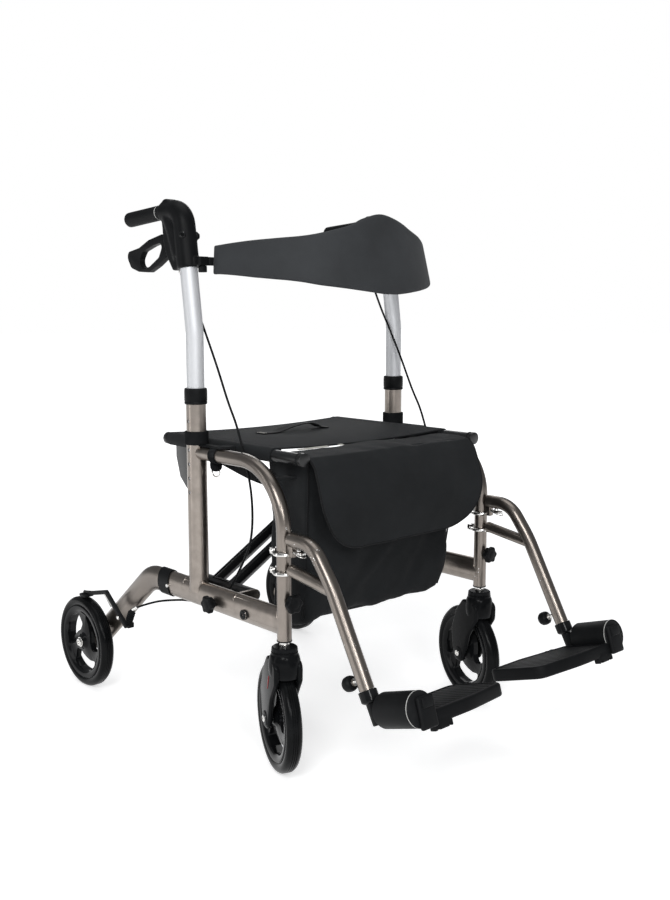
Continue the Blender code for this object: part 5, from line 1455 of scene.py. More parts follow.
def footrest_slider(label, side):
    """Inner tube with its shoulder cap and the rod that the footplate turns on."""
    x = side * FRAME_X
    end = Vector((x, *HANGER_END))
    rear = Vector((x, *BARREL_REAR))
    tube = rod(f"footrest_slider_{label}", end - HANGER_LINE * 0.120, end + HANGER_LINE * 0.0545,
               SLIDER_RADIUS, 0.001, 40)
    shoulder = lathe("shoulder", [
        (0.0088, 0.0003), (0.0138, 0.0003), (0.0150, 0.0014), (0.0150, 0.0165), (0.0140, 0.0180), (0.0110, 0.0200),
        (0.0088, 0.0210),
    ], end, HANGER_LINE, 48, closed=True)
    hinge = rod("hinge", rear, rear + FORWARD * 0.0860, 0.0080)
    dress(join(tube, shoulder, hinge), "glossy", f"footrest_slider_{label}")


def plate_body(name):
    """Plate with a sunk floor, a ribbed tread, a notched front wall and the knuckle of its hinge, lying flat."""
    notch = 0.0150
    corners = [
        (0.0, PLATE_FRONT), (0.0, 0.001), (notch, 0.001), (notch + 0.002, -0.012), (0.120, -0.0405),
        (PLATE_REACH, -0.0425), (PLATE_REACH, PLATE_FRONT - 0.015), (0.110, PLATE_FRONT + 0.001),
    ]
    outline = flat_loop(corners, [0.004, 0, 0, 0.004, 0.03, 0.018, 0.020, 0.2], 8)
    body = soften(slab(name, outline, "XY", 0, PLATE_THICK), 0.0040, 4, 45)
    end = PLATE_REACH - 0.007
    low = [(0.030, PLATE_FRONT - 0.008), (0.030, -0.006), (0.120, -0.0335), (end, -0.0355),
           (end, PLATE_FRONT - 0.022), (0.110, PLATE_FRONT - 0.007)]
    floor = flat_loop(low, [0.004, 0.004, 0.03, 0.012, 0.014, 0.2], 8)
    top = PLATE_THICK / 2
    carve(body, slab("pan", floor, "XY", top + 0.0038, 0.0100))
    ribs = []
    for index in range(PLATE_RIBS):
        start = 0.040 + index * 0.0123
        ribs.append(block("rib", (start, -0.026 - 0.006 * min(index / 6, 1), top - 0.0020),
                          (start + 0.0072, PLATE_FRONT - 0.018, top - 0.0008), 0.0004, 2))
    wall = block("wall", (0.0200, PLATE_FRONT - 0.0120, -top - 0.0090), (0.0600, PLATE_FRONT + 0.0005, 0.0),
                 0.0020, 3)
    carve(wall, *[block("notch", (start, PLATE_FRONT - 0.03, -0.03), (start + 0.0070, PLATE_FRONT + 0.01, -0.0155))
                  for start in (0.0255, 0.0505)])
    knuckle = block("knuckle", (-0.0100, PLATE_FRONT - 0.0010, -top - 0.0005),
                    (0.0240, PLATE_FRONT + 0.0075, 0.0375), 0.0038, 4)
    boss = block("boss", (-0.0030, PLATE_FRONT + 0.0060, 0.0200), (0.0180, PLATE_FRONT + 0.0100, 0.0350), 0.0018, 3)
    shade(body)
    return join(body, wall, knuckle, boss, *ribs)


def footplate(label, side):
    """Plate on its drum, with the pale ring near the drum's front."""
    rear = Vector((side * FRAME_X, *BARREL_REAR))
    plate = plate_body(f"footplate_{label}")
    turn = Matrix((Vector((-side, 0, 0)), FORWARD, UP)).transposed().to_4x4()
    plate.matrix_world = Matrix.Translation(rear - UP * (PLATE_DROP + PLATE_THICK / 2)) @ turn
    shade(clean(settle(plate)))
    drum = lathe("drum", [
        (0.0083, 0.0108), (0.0240, 0.0108), (0.0264, 0.0122), (0.0275, 0.0148), (0.0275, 0.0845), (0.0270, 0.0850),
        (0.0270, 0.0860), (0.0275, 0.0866), (0.0275, 0.0874), (0.0266, 0.0882), (0.0083, 0.0882),
    ], rear, FORWARD, 64, closed=True)
    dress(join(plate, drum), "tread", f"footplate_{label}")
    ring = lathe(f"drum_ring_{label}", [
        (0.0268, 0.0851), (0.0278, 0.0852), (0.0278, 0.0858), (0.0268, 0.0859),
    ], rear, FORWARD, 64, closed=True)
    dress(ring, "pale_ring", body=f"footplate_{label}")


def plunger(label, side):
    """Round pull knob on its bright stem."""
    x = side * FRAME_X
    foot = along_hanger(x, 0.018, SLIDER_RADIUS + 0.0005)
    axis = along_hanger(x, 0.018, 1.0) - along_hanger(x, 0.018, 0.0)
    knob = lathe(f"footrest_knob_{label}", [
        (0, 0.0345), (0.0070, 0.0343), (0.0100, 0.0330), (0.0120, 0.0300), (0.0126, 0.0262), (0.0126, 0.0222),
        (0.0116, 0.0182), (0.0095, 0.0162), (0.0074, 0.0155), (0, 0.0155),
    ], foot, axis, 40)
    dress(knob, "plastic", f"footrest_knob_{label}")
    stem = lathe(f"plunger_stem_{label}", [
        (0, 0.0160), (0.0058, 0.0160), (0.0062, 0.0150), (0.0062, 0.0125), (0.0034, 0.0120), (0.0034, 0.0), (0, 0.0),
    ], foot, axis, 24)
    dress(stem, "steel", body=f"footrest_knob_{label}")


def footrests(label, side):
    """Hanger with its clamps and latch, slider, footplate and plunger."""
    for build in (hanger_tube, hanger_clamps, latch_loop, footrest_slider, footplate, plunger):
        build(label, side)


# Clamping knobs

def star_knob(name, face, direction):
    """Lobed knob with a domed face, on a short collar."""
    points = []
    for step in range(72):
        angle = math.tau * step / 72
        radius = 0.0151 + 0.0014 * math.cos(6 * angle)
        points.append((radius * math.cos(angle), radius * math.sin(angle)))
    head = slab(name, points, "XY", 0.0125, 0.0110)
    soften(head, 0.0028, 4, 50)
    dome = lathe("dome", [(0, 0.0190), (0.0050, 0.0187), (0.0085, 0.0178), (0.0098, 0.0168), (0, 0.0168)],
                 (0, 0, 0), UPWARD, 40)
    collar = lathe("collar", [(0, 0.0078), (0.0078, 0.0078), (0.0086, 0.0060), (0.0074, 0.0003), (0, 0.0003)],
                   (0, 0, 0), UPWARD, 40)
    knob = join(head, dome, collar)
    turn = Vector(direction).to_track_quat("Z", "Y").to_matrix().to_4x4()
    knob.matrix_world = Matrix.Translation(face) @ turn
    settle(knob)
    clean(knob)
    return shade(knob)


def knobs(label, side):
    """Star knobs on the rails and on the front of the uprights."""
    face = (side * (FRAME_X + RAIL_WIDE / 2), -0.014, RAIL_Z - 0.005)
    made = star_knob(f"rail_knob_{label}", face, (side, 0, 0))
    dress(made, "plastic", f"rail_knob_{label}")
    face = (side * FRAME_X, UPRIGHT_Y - ARCH_RADIUS, 0.309)
    made = star_knob(f"front_knob_{label}", face, (0, -1, 0))
    dress(made, "plastic", f"front_knob_{label}")


# Cloth helpers

def grid_sheet(name, columns, rows, surface):
    """Grid whose points lie at surface(u, v), u and v from 0 to 1."""
    deselect()
    bpy.ops.mesh.primitive_grid_add(x_subdivisions=columns, y_subdivisions=rows, size=1)
    obj = bpy.context.object
    obj.name = name
    for vert in obj.data.vertices:
        vert.co = surface(vert.co.x + 0.5, vert.co.y + 0.5)
    return obj


def thicken(obj, thickness, offset=0.0, edge=0.0):
    """Give a sheet its thickness."""
    pick(obj)
    shell = obj.modifiers.new("Thickness", "SOLIDIFY")
    shell.thickness = thickness
    shell.offset = offset
    shell.use_even_offset = True
    apply_all(obj)
    if edge:
        soften(obj, edge, 2, 50)
    edit(obj)
    bpy.ops.mesh.normals_make_consistent(inside=False)
    leave()
    return shade(obj, 60)


def wrinkle(obj, strength, scale, turn=(0, 0, 0), stretch=(1, 1, 1), name="Folds"):
    """Push a surface in and out in long soft folds."""
    deselect()
    bpy.ops.object.empty_add(location=(0, 0, 0), rotation=turn)
    guide = bpy.context.object
    guide.scale = stretch
    cloud = bpy.data.textures.new(name, "CLOUDS")
    cloud.noise_scale = scale
    cloud.noise_depth = 2
    pick(obj)
    folds = obj.modifiers.new(name, "DISPLACE")
    folds.texture = cloud
    folds.texture_coords = "OBJECT"
    folds.texture_coords_object = guide
    folds.strength = strength
    folds.mid_level = 0.5
    apply_all(obj)
    bpy.data.objects.remove(guide)
    bpy.data.textures.remove(cloud)
    return obj


def lay_uv(obj, place_uv):
    """Write a UV map in metres, each corner at place_uv(point, normal)."""
    layer = obj.data.uv_layers.active or obj.data.uv_layers.new(name="Cloth")
    for polygon in obj.data.polygons:
        for loop in polygon.loop_indices:
            point = obj.data.vertices[obj.data.loops[loop].vertex_index].co
            layer.data[loop].uv = place_uv(point, polygon.normal)
    return obj


def box_uv(point, normal):
    """Place on the side that a face looks to most."""
    size = [abs(value) for value in normal]
    if size[2] == max(size):
        return (point.x, point.y)
    if size[1] == max(size):
        return (point.x, point.z)
    return (point.y, point.z)


def inflate(obj, pressure, cap, evened, frames=20):
    """Fill a closed form with cloth pressure, no point moving further than the cap."""
    pick(obj)
    start = [vert.co.copy() for vert in obj.data.vertices]
    cloth = obj.modifiers.new("Filling", "CLOTH")
    cloth.settings.use_pressure = True
    cloth.settings.uniform_pressure_force = pressure
    cloth.settings.effector_weights.gravity = 0
    for number in range(1, frames + 1):
        bpy.context.scene.frame_set(number)
    apply_all(obj)
    bpy.context.scene.frame_set(1)
    for vert, rest in zip(obj.data.vertices, start):
        move = vert.co - rest
        if move.length > cap:
            vert.co = rest + move.normalized() * cap
    smooth = obj.modifiers.new("Even", "SMOOTH")
    smooth.iterations = evened
    apply_all(obj)
    subdivide(obj)
    return shade(obj, 180)


# Backrest pad

PAD_A = 0.2155
PAD_B = 0.2155
PAD_END_Y = 0.030
PAD_SKIN = 0.0105
PAD_LEAN = math.tan(math.radians(12))
PAD_LEAN_FULL = 35
PAD_POCKET = 0.008
PAD_POCKET_SHARE = 0.012
PAD_TOP = (
    (0, 0.9039), (28, 0.9108), (44, 0.9154), (55, 0.9221), (69, 0.9364), (77, 0.9500), (90, 0.9606), (103, 0.9500),
)
PAD_LOW = ((0, 0.8497), (29, 0.8382), (44, 0.8320), (57, 0.8245), (81, 0.8128), (90, 0.8112), (99, 0.8128))


def along_table(table, angle):
    """Height at an angle from 0 to 90, read from a smooth curve through a table."""
    for first, second in zip(table, table[1:]):
        if angle <= second.x:
            share = (angle - first.x) / (second.x - first.x)
            return first.y + (second.y - first.y) * share
    return table[-1].y


def backrest_pad():
    """Padded band that bows forward between the arms."""
    top = smooth_run([(a, z * 1000, 0) for a, z in PAD_TOP], 120)
    low = smooth_run([(a, z * 1000, 0) for a, z in PAD_LOW], 120)

    def surface(u, v):
        from_end = min(u, 1 - u)
        turn = 180 * min(max((u - PAD_POCKET_SHARE) / (1 - 2 * PAD_POCKET_SHARE), 0), 1)
        near = min(turn, 180 - turn)
        high = along_table(top, near) / 1000 - 0.0010
        foot = along_table(low, near) / 1000 + 0.0010
        z = foot + (high - foot) * v
        share = min(near / PAD_LEAN_FULL, 1)
        out = (BACKREST_PIVOT[1] - z) * PAD_LEAN * share * share * (3 - 2 * share)
        angle = math.radians(turn)
        back = PAD_POCKET * max(0, 1 - from_end / PAD_POCKET_SHARE)
        return (-(PAD_A + out) * math.cos(angle), PAD_END_Y + back - (PAD_B + out) * math.sin(angle), z)

    pad = grid_sheet("backrest_pad", 128, 16, surface)
    thicken(pad, PAD_SKIN)
    inflate(pad, 4.0, 0.0055, 2)

    def unroll(point, normal):
        angle = math.atan2(PAD_END_Y - point.y, -point.x)
        return (angle * PAD_A, point.z)

    lay_uv(pad, unroll)
    dress(pad, "pad", "backrest_pad")
    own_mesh(pad)


# Seat

SLEEVE_RADIUS = 0.0125
SEAT_FRONT = -0.130
SEAT_REAR = 0.186
SEAT_SAG = 0.006
SEAT_BEND = ("brace_b", "brace_a", (-SEAT_RAIL_X, 0, SEAT_RAIL_Z), (SEAT_RAIL_X, 0, SEAT_RAIL_Z))


def seat_top(x):
    """Height of the seat's upper face."""
    share = min(1.0, abs(x) / SEAT_RAIL_X)
    return SEAT_RAIL_Z + SLEEVE_RADIUS - SEAT_SAG * (1 - share * share)


def sleeve(x, start):
    """Arc of a sleeve, two thirds of a turn round its rail from an angle in degrees."""
    turns = [math.radians(start - 240 * step / 24) for step in range(25)]
    return [(x + SLEEVE_RADIUS * math.cos(turn), SEAT_RAIL_Z + SLEEVE_RADIUS * math.sin(turn)) for turn in turns]


def seat_outline():
    """Cross-section of the seat: a sleeve round each rail and the sagging cloth between them."""
    steps = 40
    points = sleeve(SEAT_RAIL_X, 90)
    for step in range(steps + 1):
        share = 1 - 2 * step / steps
        x = share * (SEAT_RAIL_X - SLEEVE_RADIUS - 0.003)
        points.append((x, seat_top(x) - 0.0030))
    points += sleeve(-SEAT_RAIL_X, 330)
    for step in range(1, steps):
        x = -(1 - 2 * step / steps) * SEAT_RAIL_X
        points.append((x, seat_top(x)))
    return points


def seat_cloth():
    """Seat with its sleeves, cut round the tubes, and its hems."""
    seat = slab("seat", seat_outline(), "XZ", (SEAT_FRONT + SEAT_REAR) / 2, SEAT_REAR - SEAT_FRONT)
    soften(seat, 0.0010, 2, 60)
    tools = []
    for side, places, radius in ((1, (0.050, 0.000), 0.0118), (-1, (0.025,), 0.0128)):
        x = side * SEAT_RAIL_X
        for y in places:
            tools.append(rod("notch", (-x, y, PIVOT_Z), (x, y, SEAT_RAIL_Z), radius))
        tools.append(block("slot", (x - 0.0028, 0.1112, 0.449), (x + 0.0028, 0.1688, SEAT_RAIL_Z)))
    carve(seat, *tools)
    shade(seat)
    lay_uv(seat, box_uv)
    dress(seat, "seat", "seat", bend=SEAT_BEND)
    hems = []
    for y in (SEAT_FRONT + 0.009, SEAT_REAR - 0.009):
        run = [(x / 1000, y, seat_top(x / 1000) + 0.0001) for x in range(-216, 217, 9)]
        hems.append(pipe("seat_hems", run, 0.0005, 8))
    for side in (-1, 1):
        x = side * (SEAT_RAIL_X - SLEEVE_RADIUS - 0.004)
        z = seat_top(x) + 0.0001
        hems.append(pipe("hem", yz(x, [(SEAT_FRONT + 0.004, z), (SEAT_REAR - 0.004, z)]), 0.0005, 8))
    hem = join(*hems)
    hem.name = "seat_hems"
    dress(hem, "dark_stitch", bend=SEAT_BEND)


def ribbon(name, points, across, width, thickness, edge=0.0004):
    """Flat webbing along a run of points, as wide as asked in the direction across."""
    run = smooth_run(points, 48)
    across = Vector(across).normalized()

    def surface(u, v):
        return run[min(47, round(u * 47))] + across * width * (v - 0.5)

    strap = grid_sheet(name, 47, 6, surface)
    thicken(strap, thickness, 0.0, edge)
    return lay_uv(strap, box_uv)


def seat_strap(sizes):
    """Carrying strap, humped over the seat, with its two stitched ends."""
    middle = 0.075
    points = []
    for x, lift in ((-0.0880, 0.0014), (-0.0620, 0.0016), (-0.0450, 0.0026), (-0.0200, 0.0085), (0.0050, 0.0132),
                    (0.0300, 0.0146), (0.0500, 0.0105), (0.0640, 0.0040), (0.0820, 0.0014)):
        points.append((x, middle, seat_top(x) + lift))
    strap = ribbon("seat_strap", points, (0, 1, 0), sizes.strap_width, 0.0018)
    dress(strap, "strap", bend=SEAT_BEND)
    marks = []
    for places in ((-0.0845, -0.0785), (0.0715, 0.0775)):
        for step in range(5):
            y = middle + (step - 2) * 0.0048
            for x in places:
                start = Vector((x - 0.0017, y - 0.0012, seat_top(x) + 0.0026))
                end = Vector((x + 0.0017, y + 0.0012, seat_top(x) + 0.0026))
                marks.append(rod("seat_strap_stitches", start, end, 0.0006, 0.0002, 8))
    mark = join(*marks)
    dress(mark, "stitch", bend=SEAT_BEND)


def seat(sizes):
    """Seat cloth and its strap."""
    seat_cloth()
    seat_strap(sizes)


# Bag and its flap

BAG_TOP = (0.198, -0.197, -0.078, 0.5447)
BAG_BOTTOM = (0.178, -0.154, -0.068, 0.243)
BAG_REAR_DROP = 0.018
BAG_TAB_OUTER = 0.2402
BAG_TAB_Y = -0.150
FLAP_X = 0.2030
FLAP_REAR = -0.140
FLAP_FRONT = -0.212
FLAP_TOP_Z = 0.5475
FLAP_BOTTOM_Z = 0.385
FLAP_BULGE = 0.030
FLAP_CORNER = 0.095


def bag_size(level):
    """Half width, front, rear and height of the bag at a level; its front leans in fast near the bottom."""
    shares = (level, level ** 0.7, level, level)
    return [low + (high - low) * share for low, high, share in zip(BAG_BOTTOM, BAG_TOP, shares)]


def bag_outline(level, inset):
    """Rounded rectangle of the bag at a level from its bottom (0) to its top (1)."""
    half, front, rear, z = bag_size(level)
    half -= inset
    front += inset
    rear -= inset
    bow = 0.012 * math.sin(math.pi * level)
    rear_z = z - BAG_REAR_DROP * level
    belly = half * 0.4
    gusset = 0.010 * math.sin(math.pi * min(1.0, level * 1.1)) * (1 if level < 0.95 else 0)
    middle = (front + rear) / 2
    corners = [
        (-half, front, z), (-belly, front - bow, z), (belly, front - bow, z), (half, front, z),
        (half - gusset, middle, (z + rear_z) / 2), (half, rear, rear_z), (-half, rear, rear_z),
        (-half + gusset, middle, (z + rear_z) / 2),
    ]
    radii = [0.016, 0.09, 0.09, 0.016, 0.02, 0.012, 0.012, 0.02]
    return rounded(corners, radii, 5, closed=True)


def even_loop(points, count):
    """The same closed run with evenly spaced points."""
    loop = [Vector(point) for point in points] + [Vector(points[0])]
    lengths = [0.0]
    for first, second in zip(loop, loop[1:]):
        lengths.append(lengths[-1] + (second - first).length)
    run = []
    index = 0
    for step in range(count):
        target = lengths[-1] * step / count
        while lengths[index + 1] < target:
            index += 1
        share = (target - lengths[index]) / max(1e-9, lengths[index + 1] - lengths[index])
        run.append(loop[index].lerp(loop[index + 1], share))
    return run


def loft(name, rings):
    """Closed bottom, open top: a shell through rings of equally many points."""
    count = len(rings[0])
    deselect()
    bpy.ops.mesh.primitive_cylinder_add(vertices=count, end_fill_type="NOTHING", radius=1, depth=1)
    obj = bpy.context.object
    obj.name = name
    mesh = bmesh.new()
    for ring in rings:
        for point in ring:
            mesh.verts.new(point)
    mesh.verts.ensure_lookup_table()
    for level in range(len(rings) - 1):
        for index in range(count):
            after = (index + 1) % count
            low = level * count
            high = low + count
            mesh.faces.new([mesh.verts[n] for n in (low + index, low + after, high + after, high + index)])
    mesh.faces.new(mesh.verts[:count])
    bmesh.ops.recalc_face_normals(mesh, faces=mesh.faces)
    mesh.to_mesh(obj.data)
    mesh.free()
    return obj


def bag_shell(sizes):
    """Bag walls and floor with folds, sagging in the middle."""
    count = 180
    levels = [0.0, 0.012, 0.03, 0.06] + [0.06 + 0.94 * step / 32 for step in range(1, 33)]
    rings = []
    for level in levels:
        inset = 0.012 * max(0.0, 1 - level / 0.05) ** 2
        ring = even_loop(bag_outline(level, inset), count)
        low = max(0.0, 1 - level / 0.5)
        for point in ring:
            droop = max(0.0, (-0.085 - point.x) / 0.095)
            point.z -= low * (0.003 * (1 - (point.x / 0.18) ** 2) + 0.014 * droop * droop)
        rings.append(ring)
    bag = loft("bag", rings)
    wrinkle(bag, 0.023, 0.11, (0, 0.6, 0), (1, 1, 2.6), "Long folds")
    wrinkle(bag, 0.0085, 0.040, (0, -0.5, 0), (1, 1, 2.2), "Short folds")
    thicken(bag, sizes.cloth_thickness, -1)
    return bag


def squash_bag(piece):
    """Give a piece of the bag a mesh of its own."""
    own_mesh(piece)


def dress_bag(piece, finish, node=None, body=None):
    """Lay the weave on a piece of the bag, dress it and give it a mesh of its own."""
    lay_uv(piece, box_uv)
    dress(piece, finish, node, body)
    squash_bag(piece)


def bag(sizes):
    """Bag with the tabs that hang it on the arches, its corner piping and the pale edges at its mouth."""
    shell = bag_shell(sizes)
    lay_uv(shell, box_uv)
    tabs = []
    for side in (-1, 1):
        tabs.append(block("tab", (side * 0.194, BAG_TAB_Y - 0.0125, 0.5048),
                          (side * BAG_TAB_OUTER, BAG_TAB_Y + 0.0125, 0.5070), 0.0006))
    tab = join(*tabs)
    lay_uv(tab, box_uv)
    made = join(shell, tab)
    dress(made, "bag", "bag")
    squash_bag(made)
    corner_seams = []
    for x_way in (-1, 1):
        points = []
        for step in range(25):
            half, front, _, z = bag_size(0.03 + 0.96 * step / 24)
            points.append((x_way * (half - 0.0035), front + 0.0035, z))
        corner_seams.append(pipe("bag_piping", points, 0.0016, 10))
    dress_bag(join(*corner_seams), "strap", body="right_frame")
    pale = []
    for first, last in ((-0.168, -0.098), (-0.072, -0.062)):
        run = [(first + (last - first) * step / 8, -0.1352, 0.5488) for step in range(9)]
        pale.append(ribbon("bag_lining_edge", run, (0, 1, 0.15), 0.0070, 0.0008, 0))
    edge = join(*pale)
    dress(edge, "lining", body="bag_flap")
    squash_bag(edge)


def carry_straps(label, side):
    """Webbing that carries the rear of the bag from the seat rails."""
    points = [
        (side * 0.2120, 0.0700, 0.5380), (side * 0.2180, 0.0450, 0.5290), (side * 0.2190, 0.0000, 0.5185),
        (side * 0.2180, -0.0600, 0.5055), (side * 0.2100, -0.0950, 0.4980), (side * 0.1985, -0.1080, 0.4950),
    ]
    strap = ribbon(f"bag_carry_strap_{label}", points, UPWARD, 0.0240, 0.0016)
    dress(strap, "strap", body="right_frame")
    squash_bag(strap)


def flap_point(across, along):
    """Point of the flap: across from -1 to 1, along from its hinge (0) to its hem (1)."""
    top_share = 0.26
    if along < top_share:
        share = along / top_share
        y = FLAP_REAR + (FLAP_FRONT + 0.008 - FLAP_REAR) * share
        z = FLAP_TOP_Z - 0.0045 * share * share
        half = FLAP_X
    else:
        share = (along - top_share) / (1 - top_share)
        ease = min(1.0, share * 9)
        z = FLAP_TOP_Z - 0.0045 - (FLAP_TOP_Z - 0.0045 - FLAP_BOTTOM_Z) * share
        y = FLAP_FRONT + 0.008 * (1 - math.sin(ease * math.pi / 2))
        y -= FLAP_BULGE * math.sin(math.pi * min(share * 0.75, 1))
        edge = max(0.0, FLAP_BOTTOM_Z + FLAP_CORNER - z)
        half = FLAP_X - FLAP_CORNER + math.sqrt(max(0.0, FLAP_CORNER ** 2 - edge ** 2))
    x = across * half
    sag = 0.004 * math.sin(math.pi * min(1, along * 1.2)) * (1 - across * across)
    return Vector((x, y - sag, z))


def bag_flap(sizes):
    """Cloth lid with its bound edge."""
    def surface(u, v):
        return flap_point(2 * u - 1, 1 - v)

    flap = grid_sheet("bag_flap", 96, 110, surface)
    wrinkle(flap, 0.008, 0.085, (0, 0.35, 0), (1, 1, 2.2), "Flap folds")
    edge = [tuple(flap.data.vertices[index].co) for index in flap_border()]
    thicken(flap, sizes.cloth_thickness + 0.0008)
    dress_bag(flap, "bag", "bag_flap")
    dress_bag(pipe("flap_binding", edge, 0.0021, 10), "strap", body="bag_flap")


def flap_border():
    """Indices of the grid's points down one side, along the hem and up the other."""
    columns = 97
    rows = 111
    left = [row * columns for row in range(rows - 1, 0, -1)]
    hem = list(range(columns))
    right = [row * columns + columns - 1 for row in range(1, rows)]
    return left + hem + right


# Stage

CAMERA_PLACE = (-1.2945, -1.4669, 0.7883)
CAMERA_AZIMUTH = math.radians(42.33)
CAMERA_DROP = math.radians(7.84)
CAMERA_LENS = 40.62
WORLD_LIGHT = 0.24
WORLD_COLOUR = (0.95, 0.97, 1.0, 1)
LAMPS = (
    ("key", (-2.5, -1.9, 2.4), (0, 0, 0.45), (1.2, 1.2), 56),
    ("flash", (-1.1, -2.3, 1.3), (0, 0, 0.5), (0.5, 0.5), 15),
    ("side", (-3.4, 1.4, 1.2), (0, 0, 0.5), (0.7, 2.4), 14),
    ("rim", (2.6, 2.8, 2.2), (0, 0, 0.5), (1.6, 2.2), 22),
    ("top", (0, 0, 3.6), (0, 0, 0), (2.4, 2.4), 30),
)


def add_area(name, place, aim, size, power):
    """Soft rectangular light aimed at a point."""
    deselect()
    bpy.ops.object.light_add(type="AREA", location=place)
    lamp = bpy.context.object
    lamp.name = name
    lamp.data.shape = "RECTANGLE"
    lamp.data.size, lamp.data.size_y = size
    lamp.data.energy = power
    lamp.rotation_euler = (Vector(aim) - Vector(place)).to_track_quat("-Z", "Y").to_euler()
    return lamp


def light_backdrop():
    """White backdrop for the camera, soft cool light for everything else."""
    world = bpy.context.scene.world or bpy.data.worlds.new("World")
    bpy.context.scene.world = world
    world.use_nodes = True
    tree = world.node_tree
    tree.nodes.clear()
    out = node(tree, "ShaderNodeOutputWorld", (300, 0))
    seen = node(tree, "ShaderNodeBackground", (0, 100), inputs={"Color": (1, 1, 1, 1), "Strength": 1.0})
    light = node(tree, "ShaderNodeBackground", (0, -50), inputs={"Color": WORLD_COLOUR, "Strength": WORLD_LIGHT})
    ray = node(tree, "ShaderNodeLightPath", (-300, 200))
    choose = node(tree, "ShaderNodeMixShader", (150, 0))
    wire(tree, [
        (ray, "Is Camera Ray", choose, "Fac"), (light, "Background", choose, 1), (seen, "Background", choose, 2),
        (choose, "Shader", out, "Surface"),
    ])


def floor_material():
    """Pale floor, lifted to white for the camera and mirrors, and more so far away."""
    material, tree, shader, coordinates, grain = grained(
        "Studio floor", (1, 1, 1), (0.80, 0.83), (0.85, 0.95), 40.0, 0.6, gloss=0.0)
    shader.inputs["Emission Color"].default_value = (1, 1, 1, 1)
    distance = node(tree, "ShaderNodeVectorMath", (-900, -300), operation="LENGTH")
    lift = node(tree, "ShaderNodeMapRange", (-700, -300), interpolation_type="SMOOTHSTEP",
                inputs={"From Min": 0.9, "From Max": 3.0, "To Min": 0.58, "To Max": 1.0})
    ray = node(tree, "ShaderNodeLightPath", (-700, -550))
    seen = maths(tree, "MAXIMUM", (-500, -500), (ray, "Is Camera Ray"), (ray, "Is Glossy Ray"))
    strength = maths(tree, "MULTIPLY", (-300, -400), (lift, "Result"), (seen, "Value"))
    wire(tree, [
        (grain, "Colour", shader, "Base Color"), (coordinates, "Object", distance, "Vector"),
        (distance, "Value", lift, "Value"), (strength, "Value", shader, "Emission Strength"),
    ])
    return material


def stage():
    """Floor, backdrop light, studio lights and the photograph's camera."""
    deselect()
    bpy.ops.mesh.primitive_plane_add(size=60, location=(0, 0, 0))
    floor = bpy.context.object
    floor.name = "floor"
    settle(floor)
    floor.data.materials.append(floor_material())
    lamps = [add_area(*lamp) for lamp in LAMPS]
    light_backdrop()
    bpy.ops.object.camera_add(location=CAMERA_PLACE)
    camera = bpy.context.object
    camera.name = "photo_camera"
    camera.data.lens = CAMERA_LENS
    camera.data.sensor_width = 36
    camera.data.sensor_fit = "AUTO"
    level = math.cos(CAMERA_DROP)
    look = Vector((math.sin(CAMERA_AZIMUTH) * level, math.cos(CAMERA_AZIMUTH) * level, -math.sin(CAMERA_DROP)))
    camera.rotation_euler = look.to_track_quat("-Z", "Y").to_euler()
    bpy.context.scene.camera = camera
    bpy.context.scene.view_settings.view_transform = "Standard"


# Add-on

def add_piece(build, *values):
    """Run one builder with its values, the materials made first."""
    scene = bpy.context.scene
    if not FINISHES:
        make_finishes(scene.rollator_colours, scene.rollator_sizes)
    before = len(bpy.data.objects)
    build(*values)
    if len(bpy.data.objects) <= before:
        raise RuntimeError("nothing was added to the scene")
    return {"FINISHED"}


class ROLLATOR_OT_frame(bpy.types.Operator):
    """Add the frame tubes"""

    bl_idname = "rollator.frame"
    bl_label = "Frame tubes"

    def execute(self, context):
        return add_piece(each_side, frame_tubes)


class ROLLATOR_OT_collars(bpy.types.Operator):
    """Add the collars and the seat's clips"""

    bl_idname = "rollator.collars"
    bl_label = "Collars and clips"

    def execute(self, context):
        return add_piece(each_side, frame_collars)


class ROLLATOR_OT_wheels(bpy.types.Operator):
    """Add the rear wheels"""

    bl_idname = "rollator.wheels"
    bl_label = "Rear wheels"

    def execute(self, context):
        return add_piece(each_side, rear_wheels, context.scene.rollator_sizes)


class ROLLATOR_OT_casters(bpy.types.Operator):
    """Add the casters with their forks"""

    bl_idname = "rollator.casters"
    bl_label = "Casters"

    def execute(self, context):
        return add_piece(each_side, casters, context.scene.rollator_sizes)


class ROLLATOR_OT_handles(bpy.types.Operator):
    """Add the heads, grips and levers"""

    bl_idname = "rollator.handles"
    bl_label = "Handles and levers"

    def execute(self, context):
        return add_piece(each_side, handles)


class ROLLATOR_OT_cables(bpy.types.Operator):
    """Add the brake cables"""

    bl_idname = "rollator.cables"
    bl_label = "Brake cables"

    def execute(self, context):
        return add_piece(each_side, cables)


class ROLLATOR_OT_brakes(bpy.types.Operator):
    """Add the brakes on the rear legs"""

    bl_idname = "rollator.brakes"
    bl_label = "Brakes"

    def execute(self, context):
        return add_piece(each_side, brakes)


class ROLLATOR_OT_footrests(bpy.types.Operator):
    """Add the footrests"""

    bl_idname = "rollator.footrests"
    bl_label = "Footrests"

    def execute(self, context):
        return add_piece(each_side, footrests)


class ROLLATOR_OT_knobs(bpy.types.Operator):
    """Add the star knobs"""

    bl_idname = "rollator.knobs"
    bl_label = "Star knobs"

    def execute(self, context):
        return add_piece(each_side, knobs)


class ROLLATOR_OT_scissor(bpy.types.Operator):
    """Add the scissor under the seat"""

    bl_idname = "rollator.scissor"
    bl_label = "Scissor"

    def execute(self, context):
        return add_piece(scissor)


class ROLLATOR_OT_backrest(bpy.types.Operator):
    """Add the backrest's bars and its padded band"""

    bl_idname = "rollator.backrest"
    bl_label = "Backrest"

    def execute(self, context):
        add_piece(each_side, backrest_arms)
        return add_piece(backrest_pad)


class ROLLATOR_OT_seat(bpy.types.Operator):
    """Add the seat and its strap"""

    bl_idname = "rollator.seat"
    bl_label = "Seat"

    def execute(self, context):
        return add_piece(seat, context.scene.rollator_sizes)


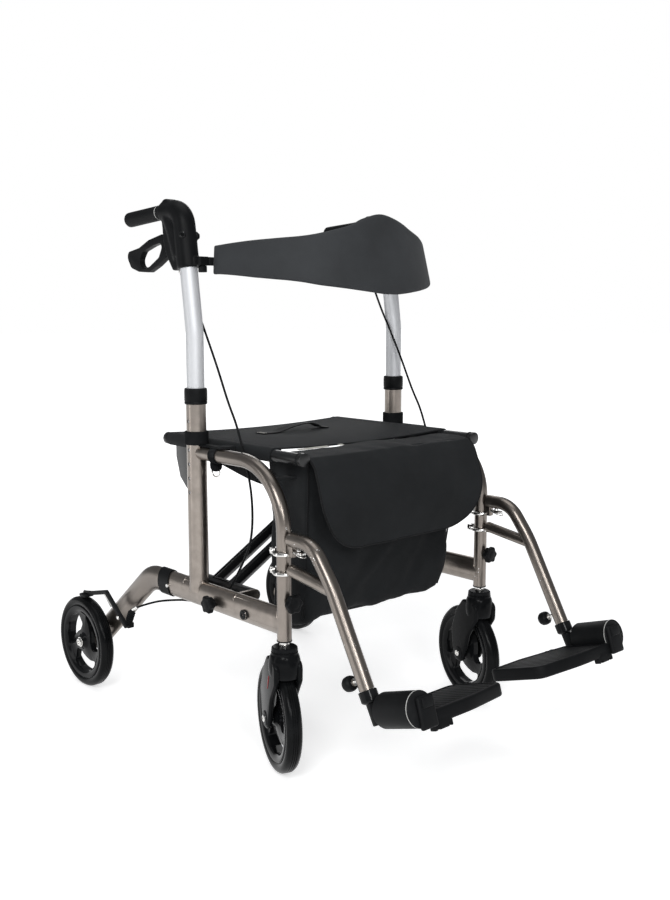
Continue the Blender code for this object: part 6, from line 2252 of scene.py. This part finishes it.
class ROLLATOR_OT_bag(bpy.types.Operator):
    """Add the bag and its flap"""

    bl_idname = "rollator.bag"
    bl_label = "Bag and flap"

    def execute(self, context):
        add_piece(bag, context.scene.rollator_sizes)
        add_piece(bag_flap, context.scene.rollator_sizes)
        return add_piece(each_side, carry_straps)


class ROLLATOR_OT_stage(bpy.types.Operator):
    """Add the floor, the lights and the camera"""

    bl_idname = "rollator.stage"
    bl_label = "Stage"

    def execute(self, context):
        return add_piece(stage)


OPERATORS = (
    ROLLATOR_OT_frame, ROLLATOR_OT_collars, ROLLATOR_OT_wheels, ROLLATOR_OT_casters, ROLLATOR_OT_handles,
    ROLLATOR_OT_cables, ROLLATOR_OT_brakes, ROLLATOR_OT_footrests, ROLLATOR_OT_knobs, ROLLATOR_OT_scissor,
    ROLLATOR_OT_backrest, ROLLATOR_OT_seat, ROLLATOR_OT_bag, ROLLATOR_OT_stage,
)


class ROLLATOR_PT_panel(bpy.types.Panel):
    """Lists the rollator's sizes, colours and pieces"""

    bl_label = "Rollator"
    bl_idname = "ROLLATOR_PT_panel"
    bl_space_type = "VIEW_3D"
    bl_region_type = "UI"
    bl_category = "Rollator"

    def draw(self, context):
        column = self.layout.column(align=True)
        for values in (context.scene.rollator_sizes, context.scene.rollator_colours):
            for name in values.__annotations__:
                column.prop(values, name)
        for operator in OPERATORS:
            column.operator(operator.bl_idname)


CLASSES = (RollatorSizes, RollatorColours, *OPERATORS, ROLLATOR_PT_panel)


def register():
    """Register the properties, operators and panel."""
    for cls in CLASSES:
        bpy.utils.register_class(cls)
    bpy.types.Scene.rollator_sizes = PointerProperty(type=RollatorSizes)
    bpy.types.Scene.rollator_colours = PointerProperty(type=RollatorColours)


def unregister():
    """Take them away again."""
    del bpy.types.Scene.rollator_sizes
    del bpy.types.Scene.rollator_colours
    for cls in reversed(CLASSES):
        bpy.utils.unregister_class(cls)


def main():
    """Build every piece and the stage."""
    register()
    for name in ("Cube", "Light", "Camera"):
        if name in bpy.data.objects:
            bpy.data.objects.remove(bpy.data.objects[name])
    bpy.ops.rollator.frame()
    bpy.ops.rollator.collars()
    bpy.ops.rollator.wheels()
    bpy.ops.rollator.casters()
    bpy.ops.rollator.handles()
    bpy.ops.rollator.cables()
    bpy.ops.rollator.brakes()
    bpy.ops.rollator.footrests()
    bpy.ops.rollator.knobs()
    bpy.ops.rollator.scissor()
    bpy.ops.rollator.backrest()
    bpy.ops.rollator.seat()
    bpy.ops.rollator.bag()
    bpy.ops.rollator.stage()


if __name__ == "__main__":
    main()
